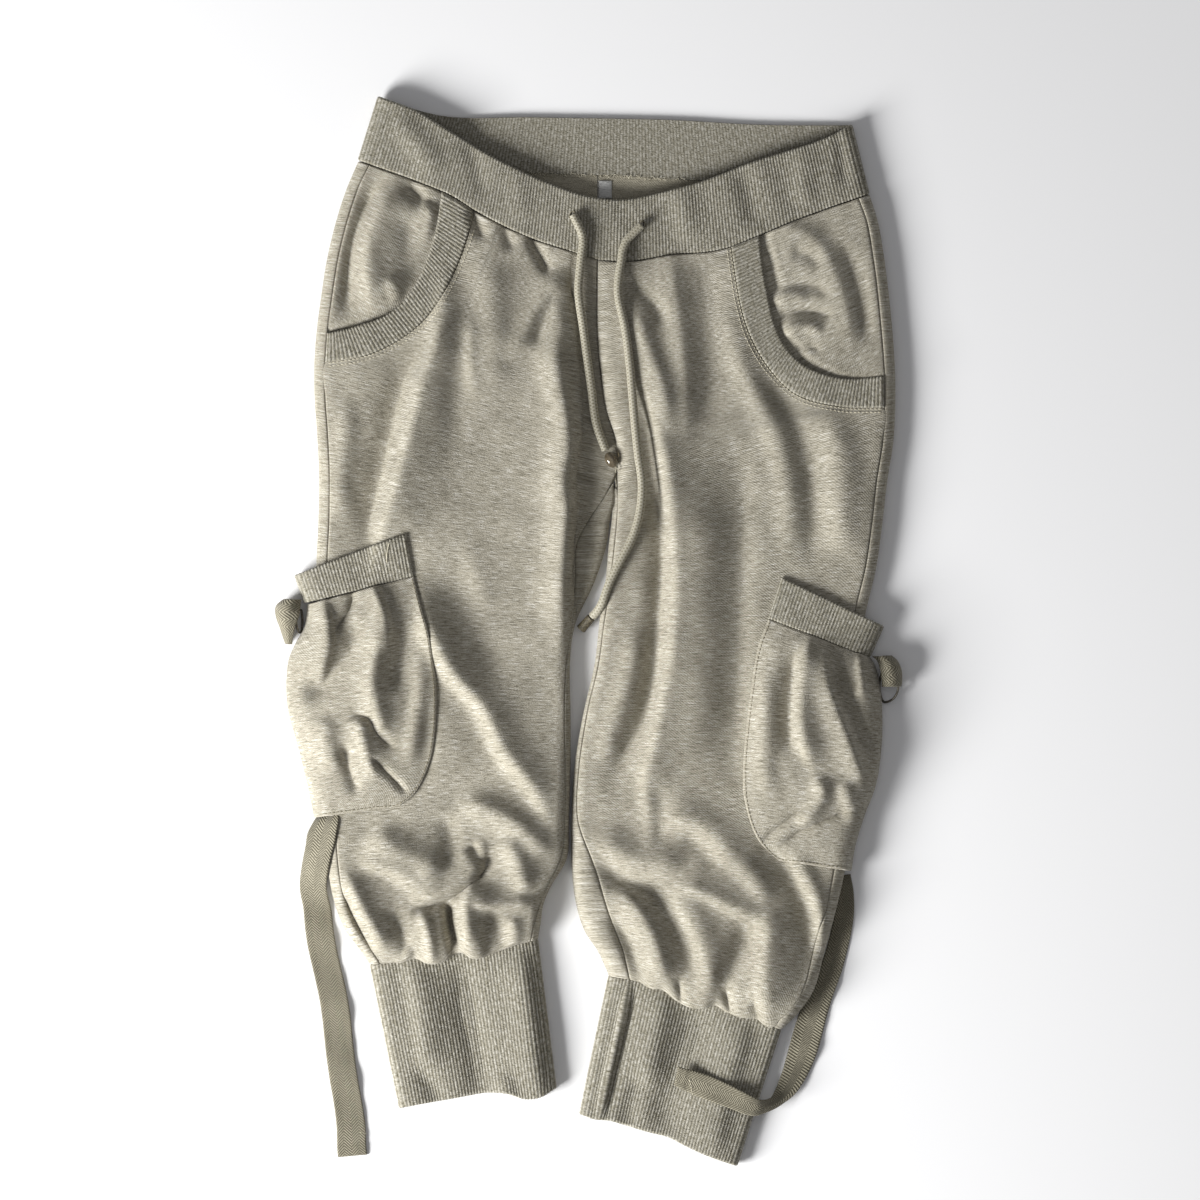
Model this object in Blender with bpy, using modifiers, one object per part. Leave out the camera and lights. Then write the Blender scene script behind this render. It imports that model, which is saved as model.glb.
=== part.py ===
"""Drawstring cargo capri trousers in jersey and rib knit, laid flat with the front up.

All lengths are millimetres until a mesh is made.  +X is the garment's right as it lies, +Y runs
from the cuffs to the waist, +Z is up, and the surface it lies on is z = 0.  The origin is the
middle of the bounding box, at its foot.  "left" is the -X half and "right" the +X half.
"""

import math

import bmesh
import bpy
import numpy as np
from mathutils import Matrix, Vector

# ---------------------------------------------------------------- driving sizes
MM = 0.001
JERSEY = 1.6            # wall of a jersey panel
RIB = 2.4               # wall of a doubled rib piece
TAPE = 1.2              # wall of the twill tape
SEAM = 0.3              # half the gap at a butted seam
CENTRE_SEAM = 1.3       # half the gap where two panels meet in a valley
CENTRE_BACK = 0.55      # half the gap at the centre-back seam
CUFF_GAP = 1.0          # the leg's share of the gap at the cuff, where the cloth leans out
BAG_GAP = 1.7           # gap between a cargo pocket's band and its pleated bag
LIFT = 0.5              # clearance of a piece that lies on a panel
CORD_RADIUS = 3.2
UNDER_POCKET = 3.2      # how far the cargo pocket's hidden half lifts the back panel
CUFF_HOLLOW = 6.0       # clear height inside a cuff
BAND_EDGE_Z = 5.6       # height of the waistband's folds at its two ends
BAND_ROUND = 9.0        # reach of the rounding at those folds
BAND_TOP_Z = 9.6        # height of the waistband's front layer
BAND_SWELL = 1.2        # how far that layer rises and falls along its length
POCKET_BAND = 2.0       # wall of a cargo pocket's rib band
TRIM_RAISE = 0.4        # the hip pocket's trim stands this far above the panel
POCKET_DEPTH = 4.4      # how far the hip pocket's side piece sinks at the mouth
CUFF_EASE = 0.9         # extra seam gap where the cloth balloons steeply above the cuff
CUFF_EASE_RUN = 45.0    # how far up the leg that extra gap fades
CROTCH_EASE = 1.6       # extra gap of the centre seam at the crotch
CROTCH_EASE_TOP = 110.0     # y where that extra gap is full
CROTCH_EASE_RUN = 40.0      # how far up it fades
BEAD_STRETCH = 1.35     # length of the egg-shaped bead over its width
BEAD_TURN = (90.0, 0.0, 30.0)   # degrees that lay the bead's long axis along its cord
LABEL_WALL = 0.8
LABEL_DROOP = 0.25      # rise of the label's free end, each row

HALVES = ("left", "right")
INWARD = {"left": 1.0, "right": -1.0}      # the way from the side seam to the centre, along X

# ---------------------------------------------------------------- outline tables
# Outer outline of the laid garment at each side: y, x
SIDE = {
    "left": ((401, -158), (390, -164), (376, -168), (353, -173), (331, -182), (316, -187),
             (286, -195), (256, -200), (226, -204), (196, -206), (136, -203), (106, -202),
             (60, -204), (0, -204), (-70, -201), (-126, -199), (-160, -197), (-193, -193),
             (-222, -183), (-236, -173), (-249, -164)),
    "right": ((380, 198), (368, 205), (346, 208), (328, 211), (316, 215), (286, 221),
              (256, 225), (226, 228), (196, 230), (166, 230), (136, 228), (106, 223),
              (60, 218), (30, 212), (0, 205), (-60, 202), (-120, 199), (-170, 194), (-194, 189),
              (-240, 177), (-277, 164), (-298, 145)),
}
# Inner outline of each leg, from the crotch to the cuff: y, x
LEG_INNER = {
    "left": ((105, 18), (90, 16), (75, 14), (61, 12.5), (46, 8), (31, 2), (16, -5), (2, -12),
             (-14, -13.5), (-60, -13.5), (-149, -15), (-172, -17), (-185, -24), (-194, -31),
             (-214, -35), (-230, -38)),
    "right": ((105, 20.5), (90, 18.5), (75, 16.5), (61, 14.5), (46, 14), (31, 11), (16, 8),
              (2, 8), (-14, 6), (-44, 0.5), (-74, -7), (-110, -11.5), (-149, -13), (-171, -13),
              (-194, -11.5), (-208, -8), (-224, -3), (-241, 8), (-259, 15)),
}
# Foot of the fold along each leg's inner side, and the low ground beside it: y, x, z, reach
INNER_FOLD = {
    "left": ((345, -6, 9.2, 10), (300, -7, 9.2, 10), (262, -8, 8.0, 9), (200, -10, 5.2, 9),
             (136, -9, 3.8, 9), (105, -9, 3.6, 9), (64, -12.5, 3.6, 9), (38, -13, 4.5, 9),
             (8, -11, 5.5, 9), (-6, -14.6, 6, 9), (-14, -15.1, 6.5, 9), (-60, -15.1, 7, 9),
             (-149, -16.6, 7, 9), (-172, -18.6, 7, 9), (-185, -25.6, 7, 9), (-194, -32.6, 7, 9),
             (-214, -36.6, 6, 8), (-230, -39.6, 5.4, 6)),
    "right": ((345, 7, 9.2, 12), (300, 7, 9.2, 12), (262, 7, 8.4, 10), (200, 10, 5.4, 9),
              (170, 14, 4.2, 8), (136, 23, 3.8, 7), (105, 22.1, 3.8, 7), (90, 20.1, 4.5, 7),
              (75, 18.1, 5, 8), (61, 16.1, 5.5, 8), (46, 15.6, 6, 8), (31, 12.6, 6, 8),
              (16, 9.6, 6, 9), (2, 9.6, 6.5, 9), (-14, 7.6, 6.5, 9), (-44, 2.1, 6.5, 9),
              (-74, -5.4, 6.5, 9), (-110, -9.9, 6.5, 9), (-149, -11.4, 6.5, 9),
              (-171, -11.4, 6.5, 9), (-194, -9.9, 6.5, 9), (-208, -6.4, 6.5, 9),
              (-224, -1.4, 6.5, 9), (-241, 9.6, 6, 8), (-259, 16.6, 5.4, 6)),
}
# Section heights of the front layer's inner face: y, side z, side reach, loft
SECTION = {
    "left": ((401, 5.5, 7, 9), (350, 5.5, 8, 9.5), (300, 6, 10, 10), (250, 6.5, 12, 11),
             (200, 7, 13, 12), (100, 7.5, 14, 13), (0, 7.5, 14, 13), (-100, 8, 14, 14),
             (-165, 8.5, 14, 17), (-205, 8, 13, 20), (-235, 6.5, 9, 20), (-249, 5.4, 6, 18)),
    "right": ((401, 5.5, 7, 9), (350, 5.5, 8, 9.5), (300, 6, 10, 10), (250, 6.5, 12, 11),
              (200, 7, 13, 12), (100, 7.5, 14, 13), (0, 7.5, 14, 13), (-100, 8, 14, 14),
              (-180, 8.5, 14, 15), (-230, 8, 13, 17), (-270, 6.5, 9, 18), (-298, 5.4, 6, 16)),
}
# The centre-front and centre-back seam: y, x
CENTRE = ((345, 7), (300, 7), (256, 7), (228, 7.5), (200, 9), (171, 13), (136, 22.5), (105, 19.3))

# Waistband edges: x, y.  The front band hangs in a shallow U and the back one lies straight.
BAND_TOP_FRONT = ((-158, 401), (-130, 390), (-102, 373), (-67, 353), (-33, 337.5), (2, 326),
                  (22, 324), (57, 330), (85, 337.5), (123, 352), (156, 362), (186, 373), (198, 380))
BAND_TOP_BACK = ((-158, 401), (-122, 389), (-44, 386), (19, 385), (62, 384), (128, 380.5),
                 (180, 380), (198, 380))
BAND_FOOT_FRONT = ((-173, 353), (-139, 341), (-106, 328), (-81, 313), (-44, 295.5), (-6, 283),
                   (7, 279), (30, 277.5), (59, 282), (105, 288), (128, 297), (165, 312), (211, 328))
BAND_FOOT_BACK = ((-173, 353), (-100, 347), (-33, 344), (30, 342), (90, 338), (150, 333),
                  (211, 328))

# Seam between a leg and its cuff: x, y; and the cuff's open edge: x, y
CUFF_SEAM = {
    "left": ((-164, -249), (-120, -242), (-80, -237), (-38, -230)),
    "right": ((15, -257), (45, -263), (77, -275), (110, -282), (145, -298)),
}
CUFF_FOOT = {
    "left": ((-142, -357), (-103, -350), (-69, -345), (-36, -349), (-24, -341)),
    "right": ((-7, -361), (6, -366), (21, -367), (36, -373), (58, -378), (70, -384),
              (98, -396), (112, -400.5)),
}

# Hip pocket: the trim's edge on the panel, then its free edge: x, y, x, y
HIP_TRIM = {
    "left": ((-86, 313, -110, 322.5), (-93, 289, -114, 303), (-103, 265, -120, 283),
             (-116, 242, -130, 260), (-136, 223, -149, 239), (-165, 208, -175, 229),
             (-198, 202, -198, 224)),
    "right": ((107, 289, 128, 297), (110, 268, 130, 277), (114, 245, 134, 255),
              (121, 222, 139, 232), (135, 198, 148, 213), (156, 178, 165, 198),
              (187, 169, 192, 190), (223, 168, 223, 192)),
}
SIDE_WRAP = 7.0         # how far in from the outline the side seam shows on top

# Panel rows below the hip pocket: y at the side seam, y at the inseam
LEG_ROWS = {
    "left": ((176, 124), (150, 103), (118, 85), (86, 64), (52, 38), (15, 8), (-25, -22),
             (-65, -62), (-105, -102), (-145, -140), (-175, -168), (-200, -190), (-220, -205),
             (-236, -219), (-249, -230)),
    "right": ((142, 103), (112, 85), (82, 64), (48, 38), (10, 8), (-30, -25), (-70, -62),
              (-108, -102), (-145, -140), (-180, -172), (-210, -200), (-240, -222),
              (-266, -238), (-284, -249), (-298, -259)),
}
CROTCH_ROW = {"left": 1, "right": 0}        # the row of LEG_ROWS that holds the crotch
# y at the centre-front seam for each row of the hip pocket's edge
FRONT_RISE = (278, 258, 238, 216, 194, 170, 146, 124)
# Rows of the back panel above those: y at the side seam, y at the centre-back seam
BACK_RISE = {
    "left": ((353, 345), (330, 318), (305, 290), (278, 260), (252, 230), (226, 200), (202, 165)),
    "right": ((328, 345), (306, 318), (284, 290), (262, 260), (238, 230), (214, 200), (190, 165),
              (166, 124)),
}
# Inseam as it shows on top: y, x
INSEAM = {
    "left": ((103, 13), (85, 1), (64, -9.5), (38, -10), (8, -13.2), (-22, -17.5), (-102, -18.5),
             (-140, -19), (-168, -21.5), (-190, -32), (-205, -38), (-219, -42), (-230, -44)),
    "right": ((103, 25), (85, 22.5), (64, 20), (38, 17), (8, 12.5), (-25, 8), (-62, -0.5),
              (-102, -6.5), (-140, -7.5), (-172, 3), (-200, 12), (-222, 19), (-238, 25),
              (-249, 28), (-259, 31)),
}

# Largest folds of the front layer: start x, y, middle x, y, end x, y, height, half-width
FOLDS = {
    "left": (
        (-140, 195, -130, 110, -150, 40, 4.0, 16),
        (-112, 215, -106, 130, -112, 60, -4.5, 12),
        (-75, 290, -55, 190, -60, 60, 3.5, 20),
        (-40, 270, -20, 190, -14, 120, 3.5, 14),
        (-60, 60, -75, -40, -80, -140, 4.0, 20),
        (-35, 40, -30, -60, -45, -150, 3.0, 16),
        (-140, -150, -150, -195, -140, -235, 5.0, 12),
        (-110, -140, -112, -190, -108, -236, -5.0, 9),
        (-75, -150, -85, -195, -80, -232, 5.0, 12),
        (-55, -165, -60, -200, -58, -228, -4.0, 8),
    ),
    "right": (
        (60, 270, 75, 150, 70, 0, 4.5, 22),
        (48, 160, 60, 60, 55, -35, -4.5, 10),
        (110, 150, 100, 20, 95, -110, -3.5, 18),
        (150, 130, 140, 60, 138, 30, 3.5, 18),
        (30, 20, 35, -80, 40, -170, 3.5, 16),
        (90, -20, 85, -110, 95, -200, 3.5, 20),
        (60, -170, 62, -215, 66, -262, -4.0, 10),
        (85, -190, 95, -230, 100, -272, 5.0, 12),
        (140, -190, 135, -235, 132, -280, 4.5, 14),
        (118, -180, 116, -230, 116, -276, -4.0, 9),
    ),
}

# Cargo pocket rows: inner edge x, y on the leg, outer fold x, y, puff.  The first two rows are
# the rib band's edges and the rest, from the band's seam to the foot, are the bag's.
CARGO_BAND = {
    "left": ((-137, 74, -221, 43, 2), (-131, 42, -213.5, 22, 2)),
    "right": ((145, 41, 222, 5, 2), (135, 10, 211.5, -18.5, 2)),
}
CARGO_BAG = {
    "left": ((-131, 42, -211, 21, 2), (-124, 15, -213, 4, 6), (-120, 1, -220.5, -10, 7),
             (-117, -18, -226, -26, 8),
             (-114, -44, -226, -55, 9), (-115, -76, -218, -86, 8), (-119, -98, -212, -110, 6),
             (-129, -119, -208, -129, 3), (-141, -130, -206, -139, 0)),
    "right": ((135, 10, 211, -19, 2), (127, -12, 216, -29, 6), (122, -42, 219.5, -50, 8),
              (118, -75, 220, -80, 9), (116, -103, 216, -112, 8), (117, -126, 207, -137, 6),
              (126, -154, 200, -160, 3), (142, -171, 197, -179, 0)),
}
CARGO_WRAP = {"left": -130.0, "right": 136.0}    # x of the pocket's seam on the back panel
CARGO_ROUND = 12.0                               # reach of the rounding at the outer fold
CARGO_FOLD_Z = 7.0

# Tape loop at each cargo pocket, a row across the tape at a time:
# y, x at the pocket, outermost x, height at the pocket, height of the arch
TAPE_LOOP = {
    "left": ((24.5, -215.5, -227, 8, 14.5), (19, -216, -233.3, 12, 16),
             (12, -217, -233.3, 14.5, 16.5), (4, -219.8, -230.5, 14.5, 15.5),
             (-3, -221.5, -228.3, 12, 13), (-9, -222.3, -226.2, 8, 9)),
    "right": ((-18, 212.9, 226, 8, 14), (-22, 216.6, 230.5, 12, 16),
              (-28, 218.5, 233.3, 14, 16.5), (-35, 219.6, 234, 14, 16), (-41, 220, 233.5, 10, 15)),
}
LOOP_FOOT = 1.3
# Wire ring in each loop: centre x and y, reach outwards and inwards, half-length, z inside, outside
WIRE_RING = {"left": (-215.9, 8.0, 3.1, 1.3, 8.6, 1.3, 12.6),
             "right": (222.2, -40.4, 10.0, 4.0, 12.2, 1.3, 8.0)}
WIRE_RADIUS = 0.9
# Long tapes: one edge x, y, z, then the other edge x, y, z, of the tape's lower face
LONG_TAPE = {
    "left": ((-209, -141.5, 13, -187, -139.8, 18.2), (-212, -160, 9, -190, -158, 17.5),
             (-215, -176, 4.5, -194.5, -176, 15.3), (-216.5, -192, 1.2, -196.3, -192, 6),
             (-213.5, -210, 0, -192.5, -210, 0), (-210.5, -230, 0, -189, -230, 0),
             (-205, -264, 0, -183.5, -264, 0), (-199, -298, 0, -177.5, -298, 0),
             (-194, -331, 0, -172.5, -332, 0), (-188, -394, 0, -166, -392, 0)),
    "right": ((196.5, -181.5, 0, 189.5, -182.5, 0), (199, -197, 0, 187, -199, 0),
              (198.5, -217, 0, 183, -219, 0), (192, -247, 0, 174.5, -249, 0),
              (178, -293, 0, 155, -296, 0), (167, -324, 0.3, 144, -330, 0.3),
              (157, -344, 2, 138, -347, 4.5), (146, -354, 4.5, 134.5, -350.5, 9),
              (134, -360, 8.5, 131, -350.3, 12.5), (122.6, -362.3, 11.8, 126.5, -349, 13.4),
              (104, -356.3, 11.5, 105.4, -339, 12.2), (83, -348.8, 11.5, 86, -331, 12.2),
              (64, -339.5, 11.5, 67, -325.5, 12.8)),
}
# Drawcord routes, each from its slit in the waistband to its free end: x, y, z
DRAWCORD = {
    "left": ((-11.6, 313, 15.3), (-4.5, 296, 15.3), (-5.6, 280, 15.0), (-7.5, 256.5, 14.6),
             (-4, 228, 12.4), (1.9, 185, 10.4), (6.4, 154, 9.7), (13, 136, 9.6)),
    "right": ((40, 305, 15.0), (27.4, 291, 15.2), (24.4, 277, 16.4), (22, 256.5, 16.8),
              (27.4, 228, 17.4), (31, 199.5, 18.0), (33.4, 171, 18.3), (37, 134, 18.4),
              (40, 109.5, 18.1), (38.6, 91, 18.2), (33.4, 72, 18.6), (23.6, 53, 18.8),
              (15, 35.5, 17.2), (9.5, 20.5, 14.3), (6.0, 15.0, 10.9), (2.6, 11.5, 8.3)),
}
CORD_TIP = ((2.0, 10.9, 8.0), (-5.8, 2.2, 4.3))    # wrapped tip of the right cord
BEAD = (17.0, 129.0, 10.8)                         # stopper on the left cord
BEAD_RADIUS = 4.6
# Inner label, sewn at the back waistband's seam: x, y of its corners
LABEL = ((7.5, 338.5), (17.5, 325.0))


# ---------------------------------------------------------------- curves and heights
def through(table, at, column=1):
    """Smooth curve through a table's rows: the given column's value at each first-column value."""
    rows = np.array(sorted(table), float)
    keys, values = rows[:, 0], rows[:, column]
    slopes = np.gradient(values, keys)
    at = np.clip(np.asarray(at, float), keys[0], keys[-1])
    i = np.clip(np.searchsorted(keys, at) - 1, 0, len(keys) - 2)
    span = keys[i + 1] - keys[i]
    t = (at - keys[i]) / span
    start = (1 + 2 * t) * (1 - t) ** 2 * values[i] + t * (1 - t) ** 2 * span * slopes[i]
    end = t * t * (3 - 2 * t) * values[i + 1] + t * t * (t - 1) * span * slopes[i + 1]
    return start + end


def shoulder(distance, reach):
    """Elliptical rise from 0 at an edge to 1 at its reach, upright at the edge."""
    q = np.clip(distance / reach, 0, 1)
    return np.sqrt(q * (2 - q))


def crease(x, y, fold):
    """Height that one soft ridge or trough adds, tapering to nothing at both ends."""
    points = np.array(fold[:6], float).reshape(3, 2)
    height, width = fold[6:]
    nearest = np.full(np.shape(x), np.inf)
    taper = np.zeros(np.shape(x))
    for k in range(2):
        ax, ay = points[k]
        dx, dy = points[k + 1] - points[k]
        t = np.clip(((x - ax) * dx + (y - ay) * dy) / (dx * dx + dy * dy), 0, 1)
        gap = np.hypot(x - ax - t * dx, y - ay - t * dy)
        closer = gap < nearest
        nearest = np.where(closer, gap, nearest)
        taper = np.where(closer, np.sin(math.pi * np.clip((k + t) / 2, 0.02, 0.98)) ** 0.7, taper)
    return height * taper * np.exp(-(nearest / width) ** 2)


def side_x(half, y):
    """Inner face of the cloth at the garment's side."""
    return through(SIDE[half], y) + INWARD[half] * JERSEY


def leg_inner_x(half, y):
    """Inner face of the cloth at the leg's inner edge."""
    return through(LEG_INNER[half], y) - INWARD[half] * JERSEY


def front_z(half, x, y):
    """Height of the front layer's inner face."""
    x, y = np.asarray(x, float), np.asarray(y, float)
    inward = INWARD[half]
    section, fold = SECTION[half], INNER_FOLD[half]
    loft = through(section, y, 3)
    for row in FOLDS[half]:
        loft = loft + crease(x, y, row)
    cuff_top = RIB + CUFF_HOLLOW
    above_cuff = y - through(CUFF_SEAM[half], x)
    loft = cuff_top + (loft - cuff_top) * shoulder(above_cuff, 26)
    side = through(section, y, 1)
    from_side = (x - side_x(half, y)) * inward
    z = side + (loft - side) * shoulder(from_side, through(section, y, 2))
    low = through(fold, y, 2)
    from_fold = (through(fold, y, 1) - x) * inward
    return low + (z - low) * shoulder(from_fold, through(fold, y, 3))


def front_top(half, x, y, wall=JERSEY):
    """Height of the front layer's outer face, allowing for its slope."""
    step = 1.0
    rise_x = (front_z(half, x + step, y) - front_z(half, x - step, y)) / (2 * step)
    rise_y = (front_z(half, x, y + step) - front_z(half, x, y - step)) / (2 * step)
    steep = np.sqrt(1 + np.clip(rise_x ** 2 + rise_y ** 2, 0, 2))
    return front_z(half, x, y) + wall * steep


def pocket_lift(half, x, y):
    """How far the cargo pocket's hidden half lifts the back panel, with a soft run-out."""
    inward = INWARD[half]
    beyond = (x - (CARGO_WRAP[half] + 6 * inward)) * inward
    top, foot = CARGO_BAND[half][0][1] + 8, CARGO_BAG[half][-1][3] - 8
    outside = np.maximum(np.maximum(beyond, y - top), foot - y)
    ease = np.clip(1 - outside / 22, 0, 1)
    return UNDER_POCKET * ease * ease * (3 - 2 * ease)


def back_z(half, x, y, from_edge, edge_z):
    """Height of the back layer's inner face, rising to edge_z at its rounded edge."""
    flat = JERSEY + pocket_lift(half, x, y)
    return flat + (edge_z - flat) * (1 - shoulder(from_edge, 8))


def arc(reach, start, end, count):
    """Distances in from a rounded edge, evenly turned between two angles in degrees."""
    return [reach * (1 - math.cos(math.radians(a))) for a in np.linspace(start, end, count)]


def angle_at(distance, reach):
    """The turn, in degrees, of the rounded edge at a distance in from it."""
    return math.degrees(math.acos(max(0.0, 1 - distance / reach)))


# ---------------------------------------------------------------- scene and mesh helpers
def clear_scene():
    for thing in list(bpy.data.objects):
        bpy.data.objects.remove(thing, do_unlink=True)


def finish(name, colour, roughness, metallic=0.0):
    """A plain Principled material, its colour given as linear red, green and blue."""
    material = bpy.data.materials.new(name)
    material.use_nodes = True
    shader = material.node_tree.nodes["Principled BSDF"]
    shader.inputs["Base Color"].default_value = (*colour, 1.0)
    shader.inputs["Roughness"].default_value = roughness
    shader.inputs["Metallic"].default_value = metallic
    return material


def add_object(name, mesh, material):
    thing = bpy.data.objects.new(name, mesh)
    GARMENT.objects.link(thing)
    thing.data.materials.append(material)
    return thing


def cloth(name, points, wall, material, facing="up", closed=False):
    """A thin wall on a grid of rows and columns of points, thickened outwards with Solidify."""
    grid = np.array(points, float)
    if closed:
        grid = np.concatenate([grid, grid[:, :1]], axis=1)
    rows, columns = grid.shape[:2]
    shell = bmesh.new()
    bmesh.ops.create_grid(shell, x_segments=columns - 1, y_segments=rows - 1, size=1)
    for vert in shell.verts:
        column = round((vert.co.x + 1) / 2 * (columns - 1))
        row = round((vert.co.y + 1) / 2 * (rows - 1))
        vert.co = grid[row, column] * MM
    if closed:
        bmesh.ops.remove_doubles(shell, verts=shell.verts, dist=0.01 * MM)
    shell.normal_update()
    middle = grid.reshape(-1, 3).mean(axis=0) * MM
    if facing == "out":
        outward = sum(f.normal.dot(f.calc_center_median() - Vector(middle)) for f in shell.faces)
    else:
        outward = sum(f.normal.z * f.calc_area() for f in shell.faces) * (1 if facing == "up" else -1)
    if outward < 0:
        bmesh.ops.reverse_faces(shell, faces=shell.faces)
    mesh = bpy.data.meshes.new(name)
    shell.to_mesh(mesh)
    shell.free()
    thing = add_object(name, mesh, material)
    thicken = thing.modifiers.new("wall", "SOLIDIFY")
    thicken.thickness = wall * MM
    thicken.offset = 1.0
    mesh.shade_smooth()
    return thing


def smooth_route(points, step):
    """Points about a step apart along a smooth curve through a hand-chosen route."""
    route = np.array(points, float)
    lengths = np.concatenate([[0], np.cumsum(np.linalg.norm(np.diff(route, axis=0), axis=1))])
    at = np.linspace(0, lengths[-1], max(2, round(lengths[-1] / step) + 1))
    columns = [through(np.column_stack([lengths, route[:, k]]).tolist(), at) for k in range(3)]
    return np.column_stack(columns)


def tube(name, points, radius, material, smoothness=1):
    """A round cord or wire along points, with closed ends."""
    curve = bpy.data.curves.new(name, "CURVE")
    curve.dimensions = "3D"
    curve.bevel_depth = radius * MM
    curve.bevel_resolution = smoothness
    curve.use_fill_caps = True
    spline = curve.splines.new("POLY")
    spline.points.add(len(points) - 1)
    for place, point in zip(spline.points, points):
        place.co = (*(point * MM), 1.0)
    thing = bpy.data.objects.new(name, curve)
    GARMENT.objects.link(thing)
    curve.materials.append(material)
    return thing


# ---------------------------------------------------------------- main panels
def trim_rows(half):
    """Rows of the hip pocket's trim, the last one drawn to the side seam."""
    rows = [list(row) for row in HIP_TRIM[half]]
    for k in (0, 2):
        rows[-1][k] = float(side_x(half, rows[-1][k + 1])) + INWARD[half] * (SIDE_WRAP + 3 * SEAM)
    return rows


def near_cuff(y, foot):
    """Wider seam gaps where the cloth balloons steeply above the cuff."""
    return CUFF_EASE * max(0.0, min(1.0, 1.4 - (y - foot) / CUFF_EASE_RUN))


def front_row(half, outer, y_seam, x_seam, on_pocket):
    """One row of a front panel, from the side seam or the hip pocket to the centre or inseam."""
    inward = INWARD[half]
    x_outer, y_outer = outer
    reach = float(through(SECTION[half], y_outer, 2))
    fold_x = float(through(INNER_FOLD[half], y_seam, 1))
    fold_reach = float(through(INNER_FOLD[half], y_seam, 3))
    if on_pocket:
        start = [x_outer + inward * d for d in (0, 3, 7, 12)]
    else:
        turns = arc(reach, angle_at(SIDE_WRAP, reach), 90, 4)
        start = [x_outer + inward * (d - turns[0]) for d in turns]
    past = (x_seam - fold_x) * inward
    if past > 0:
        ends = [fold_x - inward * d for d in arc(fold_reach, 90, 0, 4)]
        ends += [fold_x + inward * past * 0.5, x_seam]
    elif -past < fold_reach - 2:
        ends = [fold_x - inward * d for d in arc(fold_reach, 90, angle_at(-past, fold_reach), 6)]
    else:
        ends = list(np.linspace(x_seam - inward * 10, x_seam, 6))
    middle = list(np.linspace(start[-1], ends[0], 9)[1:-1])
    xs = np.array(start + middle + ends)
    share = (xs - xs[0]) / (xs[-1] - xs[0])
    ys = y_outer + (y_seam - y_outer) * share
    return xs, ys


def front_panel(half):
    """Front of one half: cut away at the hip pocket, then to the side seam, crotch and inseam."""
    inward = INWARD[half]
    foot = LEG_ROWS[half][-1][0]
    rows = []
    for edge, y_seam in zip(trim_rows(half), FRONT_RISE):
        widen = CROTCH_EASE * max(0.0, 1 - (y_seam - CROTCH_EASE_TOP) / CROTCH_EASE_RUN)
        x_seam = float(through(CENTRE, y_seam)) - inward * (CENTRE_SEAM + widen)
        outer = (edge[0] + inward * SEAM * 1.5, edge[1] - SEAM * 1.5)
        rows.append(front_row(half, outer, y_seam, x_seam, on_pocket=True))
    for index, (y_side, y_seam) in enumerate(LEG_ROWS[half]):
        if index < CROTCH_ROW[half]:
            x_seam = float(through(CENTRE, y_seam)) - inward * (CENTRE_SEAM + 1.0)
        else:
            x_seam = float(through(INSEAM[half], y_seam)) - inward * SEAM
        gap = SEAM + near_cuff(y_side, foot)
        x_side = float(side_x(half, y_side)) + inward * (SIDE_WRAP + gap)
        rows.append(front_row(half, (x_side, y_side), y_seam, x_seam, on_pocket=False))
    points = []
    for index, (xs, ys) in enumerate(rows):
        if index == 0:
            ys = through(BAND_FOOT_FRONT, xs) - SEAM
        if index == len(rows) - 1:
            ys = through(CUFF_SEAM[half], xs) + CUFF_GAP
        points.append(np.column_stack([xs, ys, front_z(half, xs, ys)]))
    return cloth(f"front_panel_{half}", points, JERSEY, COTTON)


def back_row(half, y_side, y_seam, x_centre=None):
    """One row of a back panel: side seam on top, round the side, under, and round the inseam."""
    inward = INWARD[half]
    edge = float(side_x(half, y_side))
    reach = float(through(SECTION[half], y_side, 2))
    side_z = float(through(SECTION[half], y_side, 1))
    gap = SEAM + near_cuff(y_side, LEG_ROWS[half][-1][0])
    top = [edge + inward * d for d in arc(reach, angle_at(SIDE_WRAP - gap, reach), 0, 4)]
    under = [edge + inward * d for d in arc(8, 30, 90, 3)]
    wrapped = x_centre is None
    if wrapped:
        last = float(leg_inner_x(half, y_seam))
        seam = float(through(INSEAM[half], y_seam)) + inward * SEAM
        inner = [last - inward * d for d in arc(8, 90, 0, 4)]
        inner += [last + (seam - last) * share for share in (0.25, 0.6, 1.0)]
    else:
        last = seam = x_centre - inward * CENTRE_BACK
        inner = [last - inward * d for d in (14, 11.5, 9, 7, 5, 2.5, 0)]
    lift_end = CARGO_WRAP[half] + 6 * inward
    flat = [(under[-1] + lift_end) / 2, lift_end, lift_end + 20 * inward]
    flat += list(np.linspace(flat[-1], inner[0], 4)[1:-1])
    xs = np.array(top + under + flat + inner)
    ys = y_side + (y_seam - y_side) * np.clip((xs - edge) / (seam - edge), 0, 1)
    first_inner = len(xs) - len(inner)
    if wrapped:
        ys[first_inner:] = y_seam
    zs = np.empty(len(xs))
    for k, (x, y) in enumerate(zip(xs, ys)):
        if k < len(top) or (wrapped and k > first_inner + 3):
            zs[k] = front_z(half, x, y)
        elif wrapped and k >= first_inner:
            low = float(through(INNER_FOLD[half], y_seam, 2))
            zs[k] = back_z(half, x, y, (last - x) * inward, low)
        else:
            zs[k] = back_z(half, x, y, (x - edge) * inward, side_z)
    return xs, ys, zs


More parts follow.
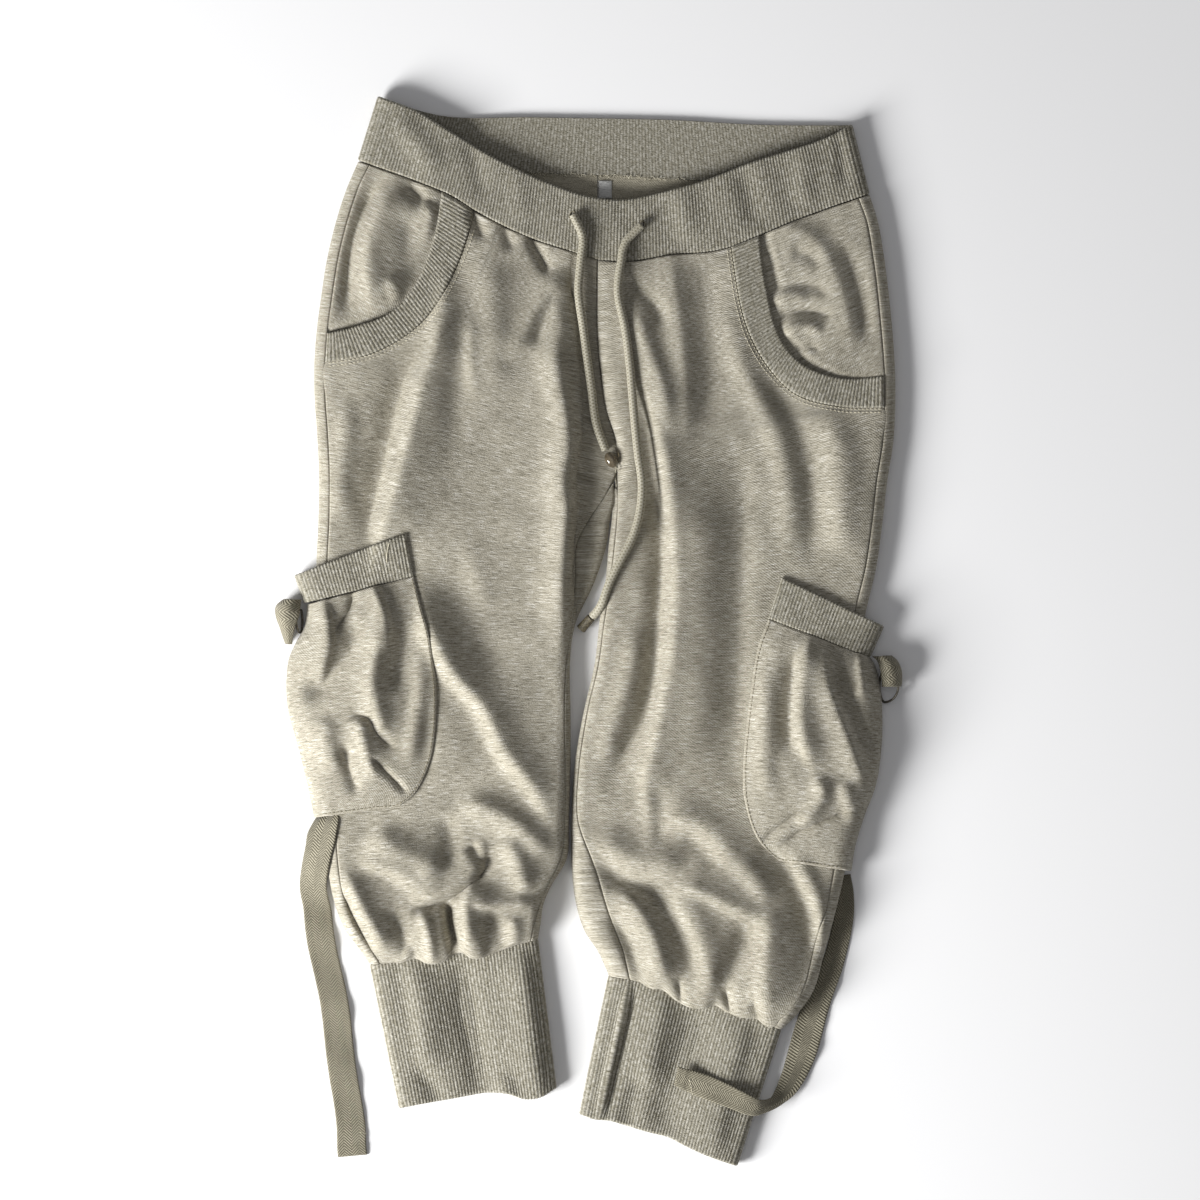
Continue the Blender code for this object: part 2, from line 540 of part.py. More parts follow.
def back_panel(half):
    """Back of one half, under the front, its edges wrapped up to the side seam and the inseam."""
    rows = []
    for y_side, y_seam in BACK_RISE[half]:
        rows.append(back_row(half, y_side, y_seam, float(through(CENTRE, y_seam))))
    for index, (y_side, y_seam) in enumerate(LEG_ROWS[half]):
        above = index < CROTCH_ROW[half]
        centre = float(through(CENTRE, y_seam)) if above else None
        rows.append(back_row(half, y_side, y_seam, centre))
    points = []
    for index, (xs, ys, zs) in enumerate(rows):
        if index == 0:
            ys = through(BAND_FOOT_BACK, xs) - SEAM
            ys[:4] = np.minimum(ys[:4], through(BAND_FOOT_FRONT, xs[:4]) - SEAM)
        if index == len(rows) - 1:
            ys = through(CUFF_SEAM[half], xs) + CUFF_GAP
        points.append(np.column_stack([xs, ys, zs]))
    return cloth(f"back_panel_{half}", points, JERSEY, COTTON, facing="down")


# ---------------------------------------------------------------- rib pieces
def waist_side(share):
    """Left and right ends of the waistband at a share of its depth."""
    top, foot = np.array(BAND_TOP_FRONT, float), np.array(BAND_FOOT_FRONT, float)
    return top[0] + (foot[0] - top[0]) * share, top[-1] + (foot[-1] - top[-1]) * share


def waist_ring(share):
    """One ring of the waistband, from the left fold over the front and back under the body."""
    left, right = waist_side(share)
    x0, x1 = left[0] + RIB, right[0] - RIB
    edge_stations = [0] + arc(BAND_ROUND, 25, 90, 4)
    middle = np.linspace(x0 + BAND_ROUND, x1 - BAND_ROUND, 20)[1:-1]
    front_x = [x0 + d for d in edge_stations] + list(middle) + [x1 - d for d in edge_stations[::-1]]
    ring = []
    for layer in ("front", "back"):
        xs = np.array(front_x if layer == "front" else front_x[::-1][1:-1])
        top = BAND_TOP_FRONT if layer == "front" else BAND_TOP_BACK
        foot = BAND_FOOT_FRONT if layer == "front" else BAND_FOOT_BACK
        place = (xs - x0) / (x1 - x0)
        ys_top = through(top, top[0][0] + place * (top[-1][0] - top[0][0]))
        ys_foot = through(foot, foot[0][0] + place * (foot[-1][0] - foot[0][0])) + SEAM
        ys = ys_top + (ys_foot - ys_top) * share
        from_edge = np.minimum(xs - x0, x1 - xs)
        rounded = shoulder(from_edge, BAND_ROUND)
        if layer == "front":
            flat = BAND_TOP_Z + BAND_SWELL * np.sin(place * 9.0) * np.sin(place * math.pi)
            zs = BAND_EDGE_Z + (flat - BAND_EDGE_Z) * rounded
        else:
            zs = RIB + (BAND_EDGE_Z - RIB) * (1 - rounded)
        ring += [np.array(p) for p in zip(xs, ys, zs)]
    return ring


def waistband():
    shares = (0, 0.25, 0.5, 0.75, 1)
    return cloth("waistband", [waist_ring(s) for s in shares], RIB, RIBBED, "out", closed=True)


def cuff_ring(half, share):
    """One ring of a cuff, flattened, at a share of the way from its seam to its open edge."""
    seam, foot = np.array(CUFF_SEAM[half], float), np.array(CUFF_FOOT[half], float)
    low = seam[0, 0] + (foot[0, 0] - seam[0, 0]) * share + RIB
    high = seam[-1, 0] + (foot[-1, 0] - seam[-1, 0]) * share - RIB
    stations = [0] + arc(6, 25, 90, 3)
    top_x = [low + d for d in stations] + list(np.linspace(low + 6, high - 6, 8)[1:-1])
    top_x += [high - d for d in stations[::-1]]
    ring = []
    for layer in ("front", "back"):
        xs = np.array(top_x if layer == "front" else top_x[::-1][1:-1])
        place = (xs - low + RIB) / (high - low + 2 * RIB)
        at_seam = through(CUFF_SEAM[half], seam[0, 0] + place * (seam[-1, 0] - seam[0, 0])) - SEAM
        at_foot = through(CUFF_FOOT[half], foot[0, 0] + place * (foot[-1, 0] - foot[0, 0]))
        ys = at_seam + (at_foot - at_seam) * share
        from_edge = np.minimum(xs - low, high - xs)
        middle_z = RIB + CUFF_HOLLOW / 2
        swell = shoulder(from_edge, 6) * CUFF_HOLLOW / 2
        zs = middle_z + swell if layer == "front" else middle_z - swell
        ring += [np.array(p) for p in zip(xs, ys, zs)]
    return ring


def cuff(half):
    shares = (0, 0.33, 0.66, 1)
    rings = [cuff_ring(half, s) for s in shares]
    return cloth(f"cuff_{half}", rings, RIB, RIBBED, "out", closed=True)


# ---------------------------------------------------------------- hip pockets
def hip_trim(half):
    """Rib strip round the hip pocket's mouth, butted to the front panel's cut edge."""
    points = []
    for px, py, ox, oy in trim_rows(half):
        row = []
        for share in (0, 0.5, 1):
            x, y = px + (ox - px) * share, py + (oy - py) * share
            row.append((x, y, float(front_z(half, x, y)) + TRIM_RAISE))
        points.append(row)
    points[0] = [(x, float(through(BAND_FOOT_FRONT, x)) - SEAM, z) for x, _, z in points[0]]
    return cloth(f"hip_pocket_trim_{half}", points, RIB, RIBBED)


def eased(value):
    """Smooth step of a value held between 0 and 1."""
    value = max(0.0, min(1.0, value))
    return value * value * (3 - 2 * value)


def hip_side(half):
    """Side piece seen inside the hip pocket's mouth, running on under the trim."""
    inward = INWARD[half]
    top_y = BACK_RISE[half][0][0]
    table = np.array(trim_rows(half))
    foot_y = (table[-1, 1] + table[-1, 3]) / 2
    steps = 9
    points = []
    for k in range(steps):
        share = k / (steps - 1)
        station = share * (len(table) - 1)
        columns = [np.column_stack([np.arange(len(table)), table[:, c]]).tolist() for c in range(4)]
        px, py, ox, oy = (float(through(column, station)) for column in columns)
        tuck_x, tuck_y = px + (ox - px) * 0.45, py + (oy - py) * 0.45
        y_side = top_y + (foot_y - top_y) * share
        x_side = float(side_x(half, y_side)) + inward * (SIDE_WRAP + 3 * SEAM)
        length = math.hypot(x_side - tuck_x, y_side - tuck_y)
        hidden = math.hypot(ox - tuck_x, oy - tuck_y)
        row = []
        for across in (0, 0.1, 0.2, 0.35, 0.5, 0.65, 0.8, 0.92, 1):
            x = tuck_x + (x_side - tuck_x) * across
            y = tuck_y + (y_side - tuck_y) * across
            if k == 0:
                y = float(through(BAND_FOOT_FRONT, x)) - SEAM
            open_by = across * length - hidden
            at_side = eased(1 - abs(x - x_side) / 14) * eased((open_by - 10) / 12)
            drop = POCKET_DEPTH * (1 - eased(open_by / 26)) * (1 - at_side)
            row.append((x, y, float(front_z(half, x, y)) - drop))
        points.append(row)
    return cloth(f"hip_pocket_side_{half}", points, JERSEY, COTTON)


# ---------------------------------------------------------------- cargo pockets
def cargo_section(half, row, wall):
    """One row of a cargo pocket: from its front seam over the leg, round the side and under."""
    inner_x, inner_y, outer_x, outer_y, puff = row
    inward = INWARD[half]
    edge = outer_x + inward * wall
    xs = list(np.linspace(inner_x, edge + inward * CARGO_ROUND, 8))
    xs += [edge + inward * d for d in arc(CARGO_ROUND, 90, 0, 4)[1:]]
    under = [edge + inward * d for d in arc(7, 30, 90, 3)]
    under += list(np.linspace(under[-1], CARGO_WRAP[half], 4)[1:])
    points = []
    for x in xs:
        share = (x - inner_x) / (edge - inner_x)
        y = inner_y + (outer_y - inner_y) * share
        on_leg = x * inward if x * inward > (float(side_x(half, y)) + inward * 15) * inward else (
            float(side_x(half, y)) + inward * 15) * inward
        base = float(front_top(half, np.array(on_leg * inward), np.array(y))) + LIFT
        top = base + puff * math.sin(math.pi * min(1.0, share * 1.05)) ** 0.6
        z = CARGO_FOLD_Z + (top - CARGO_FOLD_Z) * float(shoulder((x - edge) * inward, CARGO_ROUND))
        points.append((x, y, z))
    for x in under:
        share = (x - edge) * inward / ((CARGO_WRAP[half] - edge) * inward)
        y = outer_y + (inner_y - outer_y) * share
        rise = 1 - float(shoulder((x - edge) * inward, 7))
        points.append((x, y, wall + (CARGO_FOLD_Z - wall) * rise))
    return points


def cargo_band(half):
    top, seam = CARGO_BAND[half]
    middle = [(a + b) / 2 for a, b in zip(top, seam)]
    rows = [cargo_section(half, r, POCKET_BAND) for r in (top, middle, seam)]
    return cloth(f"cargo_pocket_band_{half}", rows, POCKET_BAND, RIBBED, "out")


def cargo_bag(half):
    table = [list(row) for row in CARGO_BAG[half]]
    table[0][1] -= BAG_GAP
    table[0][3] -= BAG_GAP
    rows = [cargo_section(half, row, JERSEY) for row in table]
    return cloth(f"cargo_pocket_bag_{half}", rows, JERSEY, COTTON, "out")


# ---------------------------------------------------------------- tapes, rings and cords
def tape_loop(half):
    """Short tape folded outwards from the cargo pocket's seam and back under its ring."""
    points = []
    for y, x_in, x_out, z_in, z_top in TAPE_LOOP[half]:
        reach = x_out - x_in
        rise = z_top - LOOP_FOOT
        row = [(x_in, y, z_in), (x_in + reach * 0.2, y, (z_in + z_top) / 2)]
        for along, height in ((0.48, 1), (0.78, 0.87), (1, 0.5), (0.88, 0.16), (0.66, 0.02),
                              (0.5, 0)):
            row.append((x_in + reach * along, y, LOOP_FOOT + rise * height))
        points.append(row)
    return cloth(f"tape_loop_{half}", points, TAPE, TWILL, "out")


def wire_ring(half):
    """Rounded D-shaped wire ring held in the tape loop, its inner side low under the pocket."""
    cx, cy, out_reach, in_reach, along, z_in, z_out = WIRE_RING[half]
    outward = -INWARD[half]
    count = 26
    ring = []
    for k in range(count):
        turn = 2 * math.pi * k / count
        reach = math.cos(turn) * (out_reach if math.cos(turn) > 0 else in_reach)
        raised = (reach + in_reach) / (out_reach + in_reach)
        ring.append((cx + outward * reach, cy + along * math.sin(turn),
                     z_in + (z_out - z_in) * raised))
    thing = tube(f"wire_ring_{half}", np.array(ring), WIRE_RADIUS, METAL, 0)
    thing.data.splines[0].use_cyclic_u = True
    return thing


def long_tape(half):
    """Free length of twill tape, from under the cargo pocket's foot to its hemmed end."""
    table = np.array(LONG_TAPE[half], float)
    points = []
    for x1, y1, z1, x2, y2, z2 in table:
        points.append([(x1 + (x2 - x1) * s, y1 + (y2 - y1) * s, z1 + (z2 - z1) * s)
                       for s in (0, 0.33, 0.67, 1)])
    return cloth(f"long_tape_{half}", points, TAPE, TWILL)


def drawcord(half):
    return tube(f"drawcord_{half}", smooth_route(DRAWCORD[half], 5), CORD_RADIUS, CORD)


def cord_tip():
    """Wrapped end of the right cord."""
    ends = np.array(CORD_TIP, float)
    route = [ends[0] + (ends[1] - ends[0]) * s for s in (0, 0.25, 0.5, 0.75, 1)]
    return tube("cord_tip_right", route, CORD_RADIUS + 0.4, TIP)


def cord_bead():
    """Egg-shaped stopper at the end of the left cord, its long axis along the cord."""
    bpy.ops.mesh.primitive_uv_sphere_add(segments=12, ring_count=8, radius=BEAD_RADIUS * MM)
    bead = bpy.context.object
    bead.name = "cord_bead_left"
    bead.data.name = bead.name
    bead.data.transform(Matrix.Diagonal((1, 1, BEAD_STRETCH, 1)))
    bead.location = tuple(v * MM for v in BEAD)
    bead.rotation_euler = tuple(math.radians(turn) for turn in BEAD_TURN)
    for owner in list(bead.users_collection):
        owner.objects.unlink(bead)
    GARMENT.objects.link(bead)
    bead.data.materials.append(AMBER)
    bead.data.shade_smooth()
    return bead


def inner_label():
    """Small bare label hanging from the back waistband's seam, on the back panel's inside."""
    (x0, y0), (x1, y1) = LABEL
    columns, rows = 4, 4
    points = []
    for r in range(rows):
        y = y0 + (y1 - y0) * r / (rows - 1)
        points.append([(x0 + (x1 - x0) * c / (columns - 1), y, JERSEY + SEAM + LABEL_DROOP * r)
                       for c in range(columns)])
    return cloth("inner_label", points, LABEL_WALL, SATIN)


# ---------------------------------------------------------------- build
GARMENT = bpy.data.collections.new("drawstring_cargo_capris")
clear_scene()
bpy.context.scene.collection.children.link(GARMENT)
COTTON = finish("cotton_jersey", (0.36, 0.33, 0.26), 0.95)
RIBBED = finish("rib_knit", (0.31, 0.29, 0.22), 0.95)
TWILL = finish("twill_tape", (0.29, 0.26, 0.20), 0.9)
CORD = finish("braided_cord", (0.52, 0.49, 0.40), 0.9)
TIP = finish("wrapped_tip", (0.07, 0.055, 0.035), 0.5)
AMBER = finish("amber_bead", (0.20, 0.14, 0.06), 0.15)
METAL = finish("wire_metal", (0.45, 0.43, 0.40), 0.3, 1.0)
SATIN = finish("label_satin", (0.45, 0.45, 0.45), 0.6)

waistband()
inner_label()
for half in HALVES:
    front_panel(half)
    back_panel(half)
    cuff(half)
    hip_trim(half)
    hip_side(half)
    cargo_band(half)
    cargo_bag(half)
    tape_loop(half)
    wire_ring(half)
    long_tape(half)
    drawcord(half)
cord_tip()
cord_bead()
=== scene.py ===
# %% [markdown]
# # Drawstring cargo capris, laid flat with the front up
#
# The imported frame gives the garment's place and size.  Each soft piece is sewn again here as a
# thin shell on the same outline, with its folds, ribs and stitches added.  The CAD
# box is measured first, so the last cell can show how little the dressed garment has grown.
# %% The frame
import math

import bpy
import numpy as np
from mathutils import Matrix, Vector


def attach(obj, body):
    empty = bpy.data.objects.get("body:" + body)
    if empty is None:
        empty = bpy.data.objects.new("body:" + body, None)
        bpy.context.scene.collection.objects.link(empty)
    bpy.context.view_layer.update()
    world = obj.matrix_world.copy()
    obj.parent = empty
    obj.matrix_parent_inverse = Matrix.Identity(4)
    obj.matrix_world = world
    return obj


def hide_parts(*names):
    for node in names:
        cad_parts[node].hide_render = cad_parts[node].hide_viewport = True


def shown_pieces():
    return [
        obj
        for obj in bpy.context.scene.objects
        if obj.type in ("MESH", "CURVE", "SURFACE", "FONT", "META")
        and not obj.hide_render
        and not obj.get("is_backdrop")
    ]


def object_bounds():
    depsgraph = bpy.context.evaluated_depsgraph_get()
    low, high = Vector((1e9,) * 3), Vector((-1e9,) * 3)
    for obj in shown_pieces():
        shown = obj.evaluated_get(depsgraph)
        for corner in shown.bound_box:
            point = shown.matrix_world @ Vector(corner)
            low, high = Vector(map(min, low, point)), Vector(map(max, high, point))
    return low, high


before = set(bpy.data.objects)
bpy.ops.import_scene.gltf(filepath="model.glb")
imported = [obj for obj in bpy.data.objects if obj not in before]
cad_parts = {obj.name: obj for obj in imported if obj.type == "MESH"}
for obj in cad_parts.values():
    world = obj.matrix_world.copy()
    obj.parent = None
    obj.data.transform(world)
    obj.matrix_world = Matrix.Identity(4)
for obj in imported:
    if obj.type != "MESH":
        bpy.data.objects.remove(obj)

cad_box = [list(corner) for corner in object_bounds()]
print("CAD box in metres:", cad_box)
print(len(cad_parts), "CAD nodes:", ", ".join(sorted(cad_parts)))

# %% [markdown]
# ## Sizes that every piece shares
#
# The tables are in millimetres because that is how a pattern is drawn; a mesh is made in metres.
# +X is to the right as the garment lies, +Y runs from the cuffs to the waist and +Z is up.
# "left" is the -X half.
# %% Units and walls
MM = 0.001
HALVES = ("left", "right")
INWARD = {"left": 1.0, "right": -1.0}      # the way from the side seam to the centre, along X
JERSEY = 1.6            # wall of a jersey panel
RIB = 2.4               # wall of a doubled rib piece
TAPE = 1.2              # wall of the twill tape
SEAM = 0.06             # half the gap at a sewn seam
CENTRE_SEAM = 0.4       # half the gap where two panels meet in a valley
CENTRE_BACK = 0.3       # half the gap at the centre-back seam
LIFT = 0.5              # clearance of a piece that lies on a panel
CORD_RADIUS = 3.2
UNDER_POCKET = 3.2      # how far the cargo pocket's hidden half lifts the back panel
CUFF_HOLLOW = 6.0       # clear height inside a cuff
SIDE_WRAP = 7.0         # how far in from the outline the side seam shows on top
CARGO_ROUND = 12.0      # reach of the rounding at a cargo pocket's outer fold
CARGO_FOLD_Z = 7.0
print("jersey wall", JERSEY, "mm, rib wall", RIB, "mm, tape wall", TAPE, "mm")

# %% [markdown]
# ## The laid outline
#
# A garment on a table is drawn like a map: the side edges, the inner legs, the fold where the
# front layer turns down at the inner leg, and how high the front layer stands.  Every row is
# y first, so a smooth curve can be read off at any height on the garment.
# %% Outline tables
# Outer outline of the laid garment at each side: y, x
SIDE = {
    "left": ((401, -158), (390, -164), (376, -168), (353, -173), (331, -182), (316, -187),
             (286, -195), (256, -200), (226, -204), (196, -206), (136, -203), (106, -202),
             (60, -204), (0, -204), (-70, -201), (-126, -199), (-160, -197), (-193, -193),
             (-222, -183), (-236, -173), (-249, -164)),
    "right": ((380, 198), (368, 205), (346, 208), (328, 211), (316, 215), (286, 221),
              (256, 225), (226, 228), (196, 230), (166, 230), (136, 228), (106, 223),
              (60, 218), (30, 212), (0, 205), (-60, 202), (-120, 199), (-170, 194), (-194, 189),
              (-240, 177), (-277, 164), (-298, 145)),
}
# Inner outline of each leg, from the crotch to the cuff: y, x
LEG_INNER = {
    "left": ((105, 21.2), (90, 18.1), (75, 15.9), (61, 14.1), (46, 9), (31, 2), (16, -5), (2, -12),
             (-14, -13.5), (-60, -13.5), (-149, -15), (-172, -17), (-185, -24), (-194, -31),
             (-214, -35), (-230, -38)),
    "right": ((105, 18.9), (90, 17.7), (75, 16.2), (61, 14.4), (46, 13.8), (31, 11), (16, 8),
              (2, 8), (-14, 6), (-44, 0.5), (-74, -7), (-110, -11.5), (-149, -13), (-171, -13),
              (-194, -11.5), (-208, -8), (-224, -3), (-241, 8), (-259, 15)),
}
# Foot of the fold along each leg's inner side, and the low ground beside it: y, x, z, reach
INNER_FOLD = {
    "left": ((345, -6, 9.2, 10), (300, -7, 9.2, 10), (274, -13, 8.4, 9), (256, -14, 7.0, 10),
             (236, -9, 5.4, 13), (214, -8, 4.4, 14), (186, -6, 4.0, 15), (158, -5, 3.8, 12),
             (136, -6, 3.8, 9), (118, -10, 3.7, 7), (105, -9.5, 3.6, 7), (64, -12.5, 3.6, 8),
             (38, -13, 4.5, 8), (8, -11, 5.5, 9), (-6, -14.6, 6, 9), (-14, -15.1, 6.5, 9),
             (-60, -15.1, 7, 9), (-149, -16.6, 7, 9), (-172, -18.6, 7, 9), (-185, -25.6, 7, 9),
             (-194, -32.6, 7, 9), (-214, -36.6, 6, 8), (-230, -39.6, 5.4, 6)),
    "right": ((345, 7, 9.2, 12), (300, 7, 9.2, 12), (262, 7, 8.4, 10), (200, 10, 5.4, 9),
              (170, 14, 4.2, 8), (136, 23, 3.8, 7), (105, 22.1, 3.8, 7), (90, 20.1, 4.5, 7),
              (75, 18.1, 5, 8), (61, 16.1, 5.5, 8), (46, 15.6, 6, 8), (31, 12.6, 6, 8),
              (16, 9.6, 6, 9), (2, 9.6, 6.5, 9), (-14, 7.6, 6.5, 9), (-44, 2.1, 6.5, 9),
              (-74, -5.4, 6.5, 9), (-110, -9.9, 6.5, 9), (-149, -11.4, 6.5, 9),
              (-171, -11.4, 6.5, 9), (-194, -9.9, 6.5, 9), (-208, -6.4, 6.5, 9),
              (-224, -1.4, 6.5, 9), (-241, 9.6, 6, 8), (-259, 16.6, 5.4, 6)),
}
# Section heights of the front layer's inner face: y, side z, side reach, loft
SECTION = {
    "left": ((401, 5.5, 7, 9), (350, 5.5, 8, 9.5), (300, 6, 10, 10), (250, 6.5, 12, 11),
             (200, 7, 13, 12), (100, 7.5, 14, 13), (0, 7.5, 14, 13), (-100, 8, 14, 14),
             (-165, 8.5, 14, 17), (-205, 8, 13, 20), (-235, 6.5, 9, 20), (-249, 5.4, 6, 18)),
    "right": ((401, 5.5, 7, 9), (350, 5.5, 8, 9.5), (300, 6, 10, 10), (250, 6.5, 12, 11),
              (200, 7, 13, 12), (100, 7.5, 14, 13), (0, 7.5, 14, 13), (-100, 8, 14, 14),
              (-180, 8.5, 14, 15), (-230, 8, 13, 17), (-270, 6.5, 9, 18), (-298, 5.4, 6, 16)),
}
# The centre-front and centre-back seam: y, x
CENTRE = ((345, 7), (300, 7), (256, 7), (228, 7.5), (200, 9), (171, 13), (136, 22.5), (105, 19.3))

# Waistband edges: x, y.  The front band hangs in a shallow U and the back one lies straight.
BAND_TOP_FRONT = ((-158, 401), (-130, 390), (-102, 373), (-67, 353), (-33, 337.5), (2, 326),
                  (22, 324), (57, 330), (85, 337.5), (123, 352), (156, 362), (186, 373), (198, 380))
BAND_TOP_BACK = ((-158, 401), (-122, 389), (-44, 386), (19, 385), (62, 384), (128, 380.5),
                 (180, 380), (198, 380))
BAND_FOOT_FRONT = ((-173, 353), (-139, 341), (-106, 328), (-81, 313), (-44, 295.5), (-6, 283),
                   (7, 279), (30, 277.5), (59, 282), (105, 288), (128, 297), (165, 312), (211, 328))
BAND_FOOT_BACK = ((-173, 353), (-100, 347), (-33, 344), (30, 342), (90, 338), (150, 333),
                  (211, 328))

# %% [markdown]
# ## Seams and cut edges
#
# The cuffs' seams, the hip pockets' curved trims, the rows that run across each leg, and where
# the centre and inner-leg seams show on top.
# %% Seam tables
# Seam between a leg and its cuff: x, y; and the cuff's open edge: x, y
CUFF_SEAM = {
    "left": ((-164, -249), (-120, -242), (-80, -237), (-38, -230)),
    "right": ((15, -257), (45, -263), (77, -275), (110, -282), (145, -298)),
}
CUFF_FOOT = {
    "left": ((-142, -357), (-103, -350), (-69, -345), (-36, -349), (-24, -341)),
    "right": ((-7, -361), (6, -366), (21, -367), (36, -373), (58, -378), (70, -384),
              (98, -396), (112, -400.5)),
}

# Hip pocket: the trim's edge on the panel, then its free edge: x, y, x, y
HIP_TRIM = {
    "left": ((-86, 313, -110, 322.5), (-93, 289, -114, 303), (-103, 265, -120, 283),
             (-116, 242, -130, 260), (-136, 223, -149, 239), (-165, 208, -175, 229),
             (-198, 202, -198, 224)),
    "right": ((107, 289, 128, 297), (110, 268, 130, 277), (114, 245, 134, 255),
              (121, 222, 139, 232), (135, 198, 148, 213), (156, 178, 165, 198),
              (187, 169, 192, 190), (223, 168, 223, 192)),
}
# Panel rows below the hip pocket: y at the side seam, y at the inseam
LEG_ROWS = {
    "left": ((176, 124), (150, 103), (118, 85), (86, 64), (52, 38), (15, 8), (-25, -22),
             (-65, -62), (-105, -102), (-145, -140), (-175, -168), (-200, -190), (-220, -205),
             (-236, -219), (-249, -230)),
    "right": ((142, 103), (112, 85), (82, 64), (48, 38), (10, 8), (-30, -25), (-70, -62),
              (-108, -102), (-145, -140), (-180, -172), (-210, -200), (-240, -222),
              (-266, -238), (-284, -249), (-298, -259)),
}
CROTCH_ROW = {"left": 1, "right": 0}        # the row of LEG_ROWS that holds the crotch
# y at the centre-front seam for each row of the hip pocket's edge
FRONT_RISE = (278, 258, 238, 216, 194, 170, 146, 124)
# Rows of the back panel above those: y at the side seam, y at the centre-back seam
BACK_RISE = {
    "left": ((353, 345), (330, 318), (305, 290), (278, 260), (252, 230), (226, 200), (202, 165)),
    "right": ((328, 345), (306, 318), (284, 290), (262, 260), (238, 230), (214, 200), (190, 165),
              (166, 124)),
}
# Inseam as it shows on top: y, x
INSEAM = {
    "left": ((103, 13), (85, 1), (64, -9.5), (38, -10), (8, -13.2), (-22, -17.5), (-102, -18.5),
             (-140, -19), (-168, -21.5), (-190, -32), (-205, -38), (-219, -42), (-230, -44)),
    "right": ((103, 22.8), (85, 22), (64, 20), (38, 17), (8, 12.5), (-25, 8), (-62, -0.5),
              (-102, -6.5), (-140, -7.5), (-172, 3), (-200, 12), (-222, 19), (-238, 25),
              (-249, 28), (-259, 31)),
}

# %% [markdown]
# ## Pockets, tapes, rings, cords and label
#
# A cargo pocket is a rib band over a pleated bag that wraps round the side of the leg.  Its
# drawing tape passes through a wire ring at the top and hangs free below.
# %% Pocket and trim tables
# Cargo pocket rows: inner edge x, y on the leg, outer fold x, y, puff.  The first two rows are
# the rib band's edges and the rest, from the band's seam to the foot, are the bag's.
CARGO_BAND = {
    "left": ((-137, 74, -221, 43, 2), (-131, 42, -213.5, 22, 2)),
    "right": ((145, 41, 222, 5, 2), (135, 10, 211.5, -18.5, 2)),
}
CARGO_BAG = {
    "left": ((-131, 42, -211, 21, 2), (-124, 15, -213, 4, 6), (-120, 1, -220.5, -10, 7),
             (-117, -18, -226, -26, 8),
             (-114, -44, -226, -55, 9), (-115, -76, -218, -86, 8), (-119, -98, -212, -110, 6),
             (-129, -119, -208, -129, 3), (-141, -130, -206, -139, 0)),
    "right": ((135, 10, 211, -19, 2), (127, -12, 216, -29, 6), (122, -42, 219.5, -50, 8),
              (118, -75, 220, -80, 9), (116, -103, 216, -112, 8), (117, -126, 207, -137, 6),
              (126, -154, 200, -160, 3), (142, -171, 197, -179, 0)),
}
CARGO_WRAP = {"left": -130.0, "right": 136.0}    # x of the pocket's seam on the back panel
# Tape loop at each cargo pocket, a row across the tape at a time:
# y, x at the pocket, outermost x, height at the pocket, height of the arch
TAPE_LOOP = {
    "left": ((24.5, -215.5, -227, 8, 14.5), (19, -216, -233.3, 12, 16),
             (12, -217, -233.3, 14.5, 16.5), (4, -219.8, -230.5, 14.5, 15.5),
             (-3, -221.5, -228.3, 12, 13), (-9, -222.3, -226.2, 8, 9)),
    "right": ((-18, 212.9, 226, 8, 14), (-22, 216.6, 230.5, 12, 16),
              (-28, 218.5, 233.3, 14, 16.5), (-35, 219.6, 234, 14, 16), (-41, 220, 233.5, 10, 15)),
}
LOOP_FOOT = 1.3
# Wire ring in each loop: centre x and y, reach outwards and inwards, half-length, z inside, outside
WIRE_RING = {"left": (-215.9, 8.0, 3.1, 1.3, 8.6, 1.3, 12.6),
             "right": (222.2, -40.4, 10.0, 4.0, 12.2, 1.3, 8.0)}
WIRE_RADIUS = 0.9
# Long tapes: one edge x, y, z, then the other edge x, y, z, of the tape's lower face
LONG_TAPE = {
    "left": ((-203.5, -138.6, 9, -186.6, -136.4, 15.2), (-206.8, -143.5, 11.5, -187, -141.5, 18),
             (-210.6, -151, 10.8, -188.4, -149, 18.1), (-212, -160, 9, -190, -158, 17.5),
             (-215, -176, 4.5, -194.5, -176, 15.3), (-216.5, -192, 1.2, -196.3, -192, 6),
             (-213.5, -210, 0, -192.5, -210, 0), (-210.5, -230, 0, -189, -230, 0),
             (-205, -264, 0, -183.5, -264, 0), (-199, -298, 0, -177.5, -298, 0),
             (-194, -331, 0, -172.5, -332, 0), (-188, -394, 0, -166, -392, 0)),
    "right": ((196.5, -181.5, 0, 189.5, -182.5, 0), (199, -197, 0, 187, -199, 0),
              (198.5, -217, 0, 183, -219, 0), (192, -247, 0, 174.5, -249, 0),
              (178, -293, 0, 155, -296, 0), (167, -324, 0.3, 144, -330, 0.3),
              (157, -344, 2, 138, -347, 4.5), (146, -354, 4.5, 134.5, -350.5, 9),
              (134, -360, 9.5, 131, -350.3, 14), (122.6, -362.3, 14.2, 126.5, -349, 15.8),
              (104, -356.3, 15.6, 105.4, -339, 16.2), (83, -348.8, 13.4, 86, -331, 14),
              (64, -339.5, 12, 67, -325.5, 13)),
}
